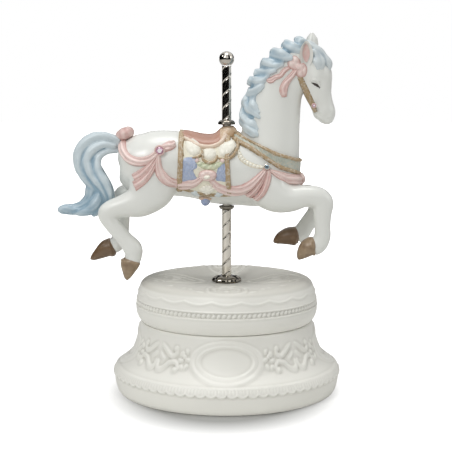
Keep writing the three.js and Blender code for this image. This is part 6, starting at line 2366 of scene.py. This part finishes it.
class MusicBox:
    """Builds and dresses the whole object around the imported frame."""

    cup_sunk: float = 0.35             # the deck collar's foot lies this far below its seat

    def __init__(self) -> None:
        """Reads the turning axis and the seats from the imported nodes."""
        pole = [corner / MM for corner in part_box("pole")]
        self.axis_x = (pole[0].x + pole[1].x) / 2
        self.pole_span = (pole[0].z, pole[1].z)
        self.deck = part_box("platform_drum")[1].z / MM
        self.level = self.deck + RIDE
        self.finish = Finishes()

    def on_axis(self, shell: Shell, z: float = 0.0) -> Shell:
        """A shell made about the turning axis, put in its place."""
        return shell.moved((self.axis_x, 0.0, z))

    def stand(self) -> None:
        """Carved base and drum."""
        bisque = self.finish["bisque"]
        piece("flared_base_carved", self.on_axis(CarvedBase().build()), Body.STAND,
              bisque, ["flared_base"])
        piece("platform_drum_carved", self.on_axis(CarvedDrum(deck=self.deck).build()),
              Body.STAND, bisque, ["platform_drum"])

    def pole(self) -> None:
        """Twisted pole, collars and ball."""
        chrome = self.finish["chrome"]
        foot, top = self.pole_span
        belly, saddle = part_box("belly_collar"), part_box("saddle_collar")
        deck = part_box("deck_collar")
        twisted = [(deck[0].z / MM, belly[0].z / MM), (saddle[0].z / MM, top)]
        piece("pole_twisted", self.on_axis(TwistedPole().build(foot, top, twisted)),
              Body.FIGURE, chrome, ["pole"])
        cups = {
            "deck_collar": PetalCup(7.5, 2.9, petals=8, wave=0.06, rib=0.45, dome=2.0,
                                    foot=deck[0].z / MM - self.cup_sunk),
            "belly_collar": PetalCup(3.9, 1.9, opens_up=True, foot=belly[0].z / MM),
            "saddle_collar": PetalCup(4.4, 2.2, foot=saddle[0].z / MM),
        }
        for name, cup in cups.items():
            piece(f"{name}_petals", self.on_axis(cup.build()), Body.FIGURE, chrome,
                  [name])
        ball = Ball().build(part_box("ball_finial")[0].z / MM)
        piece("ball_polished", self.on_axis(ball), Body.FIGURE, chrome,
              ["ball_finial"])

    def carried_over(self) -> None:
        """Gives each CAD node that still shows the material of its slot."""
        slots = {"cover_board": "board"}
        for row in frame["record"]["subparts"]:
            obj = frame["nodes"][row["node"]]
            name = slots.get(row["material_slot"], row["material_slot"])
            if name in self.finish.made:
                obj.data.materials.clear()
                obj.data.materials.append(self.finish[name])

    def horse(self) -> None:
        """The horse with everything it wears."""
        horse = HorseBody()
        body = horse.build()
        middles = np.empty(len(body.data.polygons) * 3, np.float32)
        body.data.polygons.foreach_get("center", middles)
        cloud = [points_of(body.data), middles.reshape(-1, 3).astype(float) / MM]
        maps = Maps.of(np.vstack(cloud), horse.trunk())
        self.settle(body)
        piece("horse_body", body, Body.FIGURE, self.finish["glaze"], ["horse"])
        # painted light: the tail is painted lighter on top and darker at its foot, the mane
        # lighter low and darker at its top
        self.sculpted("tail_hair", Tail().build(), "blue", (
            (-4, -0.36), (3, -0.26), (14, -0.1), (22, 0.0), (30, 0.42), (36, 0.5)), 0.2)
        self.sculpted("mane_hair", Mane().build(maps), "blue",
                      ((20, 0.12), (35, 0.08), (55, -0.03), (75, -0.12)), 0.5)
        self.sculpted("forelock", Mane().front(), "mist", lumps=0.5)
        self.ears()
        self.worn("hooves", Hooves().build(), "hoof")
        self.saddle(maps)
        self.ribbons(maps)
        self.bridle(maps)
        self.stones()

    def sculpted(self, name: str, obj: bpy.types.Object, finish: str,
                 painted_light_by_height: Stations = ((0, 0),), lumps: float = 0.0) -> None:
        """Adds a fused piece of the horse, its creases marked for the finish and light and shade
        painted by height.

        Args:
            name: Name of the piece.
            obj: The fused object, in the horse's own frame.
            finish: Name of its finish.
            painted_light_by_height: Pairs of a height and how much painted light is added there;
                negative values are painted shade.
            lumps: How uneven its surface is, in millimetres.
        """
        uneven(obj.data, lumps)
        heights, painted_light = np.array(painted_light_by_height, float).T
        painted_light_shift = np.interp(points_of(obj.data)[:, 2], heights, painted_light)
        set_shade(obj.data, hollows(obj.data) + painted_light_shift)
        self.settle(obj)
        piece(name, obj, Body.FIGURE, self.finish[finish])

    def ears(self) -> None:
        """Both ears, each with its painted hollow."""
        near = Ear((39.0, -6.6, 68.2), (38.8, -8.4, 79.8)).build()
        far = Ear((42.0, 4.6, 73.6), (42.5, 4.8, 84.2), facing=(0.3, 0.95, 0.0)).build()
        self.worn("ears", merge([near[0], far[0]]), "glaze")
        self.worn("ear_hollows", merge([near[1], far[1]]), "pink")

    def worn(self, name: str, shell: Shell, finish: str) -> None:
        """Adds one porcelain piece of the horse, given in the horse's own frame."""
        piece(name, shell.moved((self.axis_x, 0.0, self.level)), Body.FIGURE,
              self.finish[finish])

    def saddle(self, maps: Maps) -> None:
        """Saddle and cloth."""
        made = Saddle()
        self.worn("saddle_cloth", made.sheet(maps), "cloth")
        self.worn("cloth_borders", made.borders(maps), "gold")
        rear, pommel = made.seat(maps)
        self.worn("saddle_seat", rear, "rose")
        self.worn("saddle_pommel", pommel, "tan")
        self.worn("seat_roll", made.seat_edge(maps), "peach")
        self.worn("cloth_panels", made.panel_set(maps), "panel")
        self.worn("cloth_shells", made.shell_set(maps), "cream")
        self.worn("shell_scrolls", made.shell_edges(maps), "gold")
        self.worn("garland", made.garland_set(maps), "green")
        self.worn("leaf_tufts", made.tufts(maps), "cream")
        self.worn("leaf_scrolls", made.leaves(maps), "mist")
        self.worn("blossoms", made.blossoms(maps), "pink")
        self.worn("rosette", made.rosette_set(maps), "pink")
        self.worn("rosette_knot", made.knot(maps), "cream")
        blue, tan = made.beads(maps)
        self.worn("girth_bead", blue, "panel")
        self.worn("girth_calyx", tan, "peach")

    def ribbons(self, maps: Maps) -> None:
        """Swags, tails, rolled bow and breast band."""
        made = Ribbons()
        self.worn("ribbon_swags", made.swag_set(maps), "pink")
        self.worn("ribbon_tails", made.tail_set(maps), "pink")
        self.worn("tail_bow", made.roll_set(), "pink")
        self.worn("breast_band", made.band(maps), "strap")
        self.worn("breast_band_rims", made.band_rims(maps), "gold")
        self.worn("chest_lace", made.lace_set(maps), "cream")
        self.worn("chest_bow", made.front_set(maps), "pink")

    def bridle(self, maps: Maps) -> None:
        """Straps, bows and eyes."""
        made = Bridle()
        self.worn("cheek_straps", made.strap_set(maps), "gold")
        self.worn("bridle_bows", made.bow_set(maps), "pink")
        self.worn("eyelids", made.lids(maps), "glaze")
        self.worn("lashes", made.lashes(maps), "lash")

    def stones(self) -> None:
        """Crystals in place of the plain ones, each with its setting."""
        stone = Stone()
        for place, scale, grip, slot in (
                ("rump", 1.1, "pink", "pink_crystal"), ("chest", 0.6, "chrome", "clear_crystal"),
                ("bridle", 0.5, "pink", "pink_crystal")):
            for side in Side:
                node = f"{place}_gem_{side.name.lower()}"
                low, high = (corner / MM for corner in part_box(node))
                seat = ((low.x + high.x) / 2, high.y if side is Side.NEAR else low.y,
                        (low.z + high.z) / 2)

                def seated(shell: Shell) -> Shell:
                    """The shell scaled, turned to its side and moved to its seat."""
                    x, y, z = (shell.points * scale).T
                    return outward(np.stack([x, side.value * z, y], 1) + seat, shell.faces)
                cut = piece(f"{node}_stone", seated(stone.crystal()), Body.FIGURE,
                            self.finish[slot], [node])
                cut.data.polygons.foreach_set(
                    "use_smooth", np.zeros(len(cut.data.polygons), bool))
                piece(f"{node}_setting", seated(stone.setting()), Body.FIGURE,
                      self.finish[grip])

    def settle(self, obj: bpy.types.Object) -> None:
        """Shifts a mesh made in the horse's own frame into the object's frame."""
        move_points(obj.data, points_of(obj.data) + (self.axis_x, 0.0, self.level))

    def build(self) -> None:
        """Builds every sub-assembly in order."""
        self.carried_over()
        self.stand()
        self.pole()
        self.horse()


def main() -> None:
    """Builds the object and the stage."""
    logging.basicConfig(level=logging.INFO, format="%(message)s")
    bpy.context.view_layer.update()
    box = MusicBox()
    box.build()
    Studio(box.axis_x).build()
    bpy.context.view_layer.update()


if __name__ == "__main__":
    main()
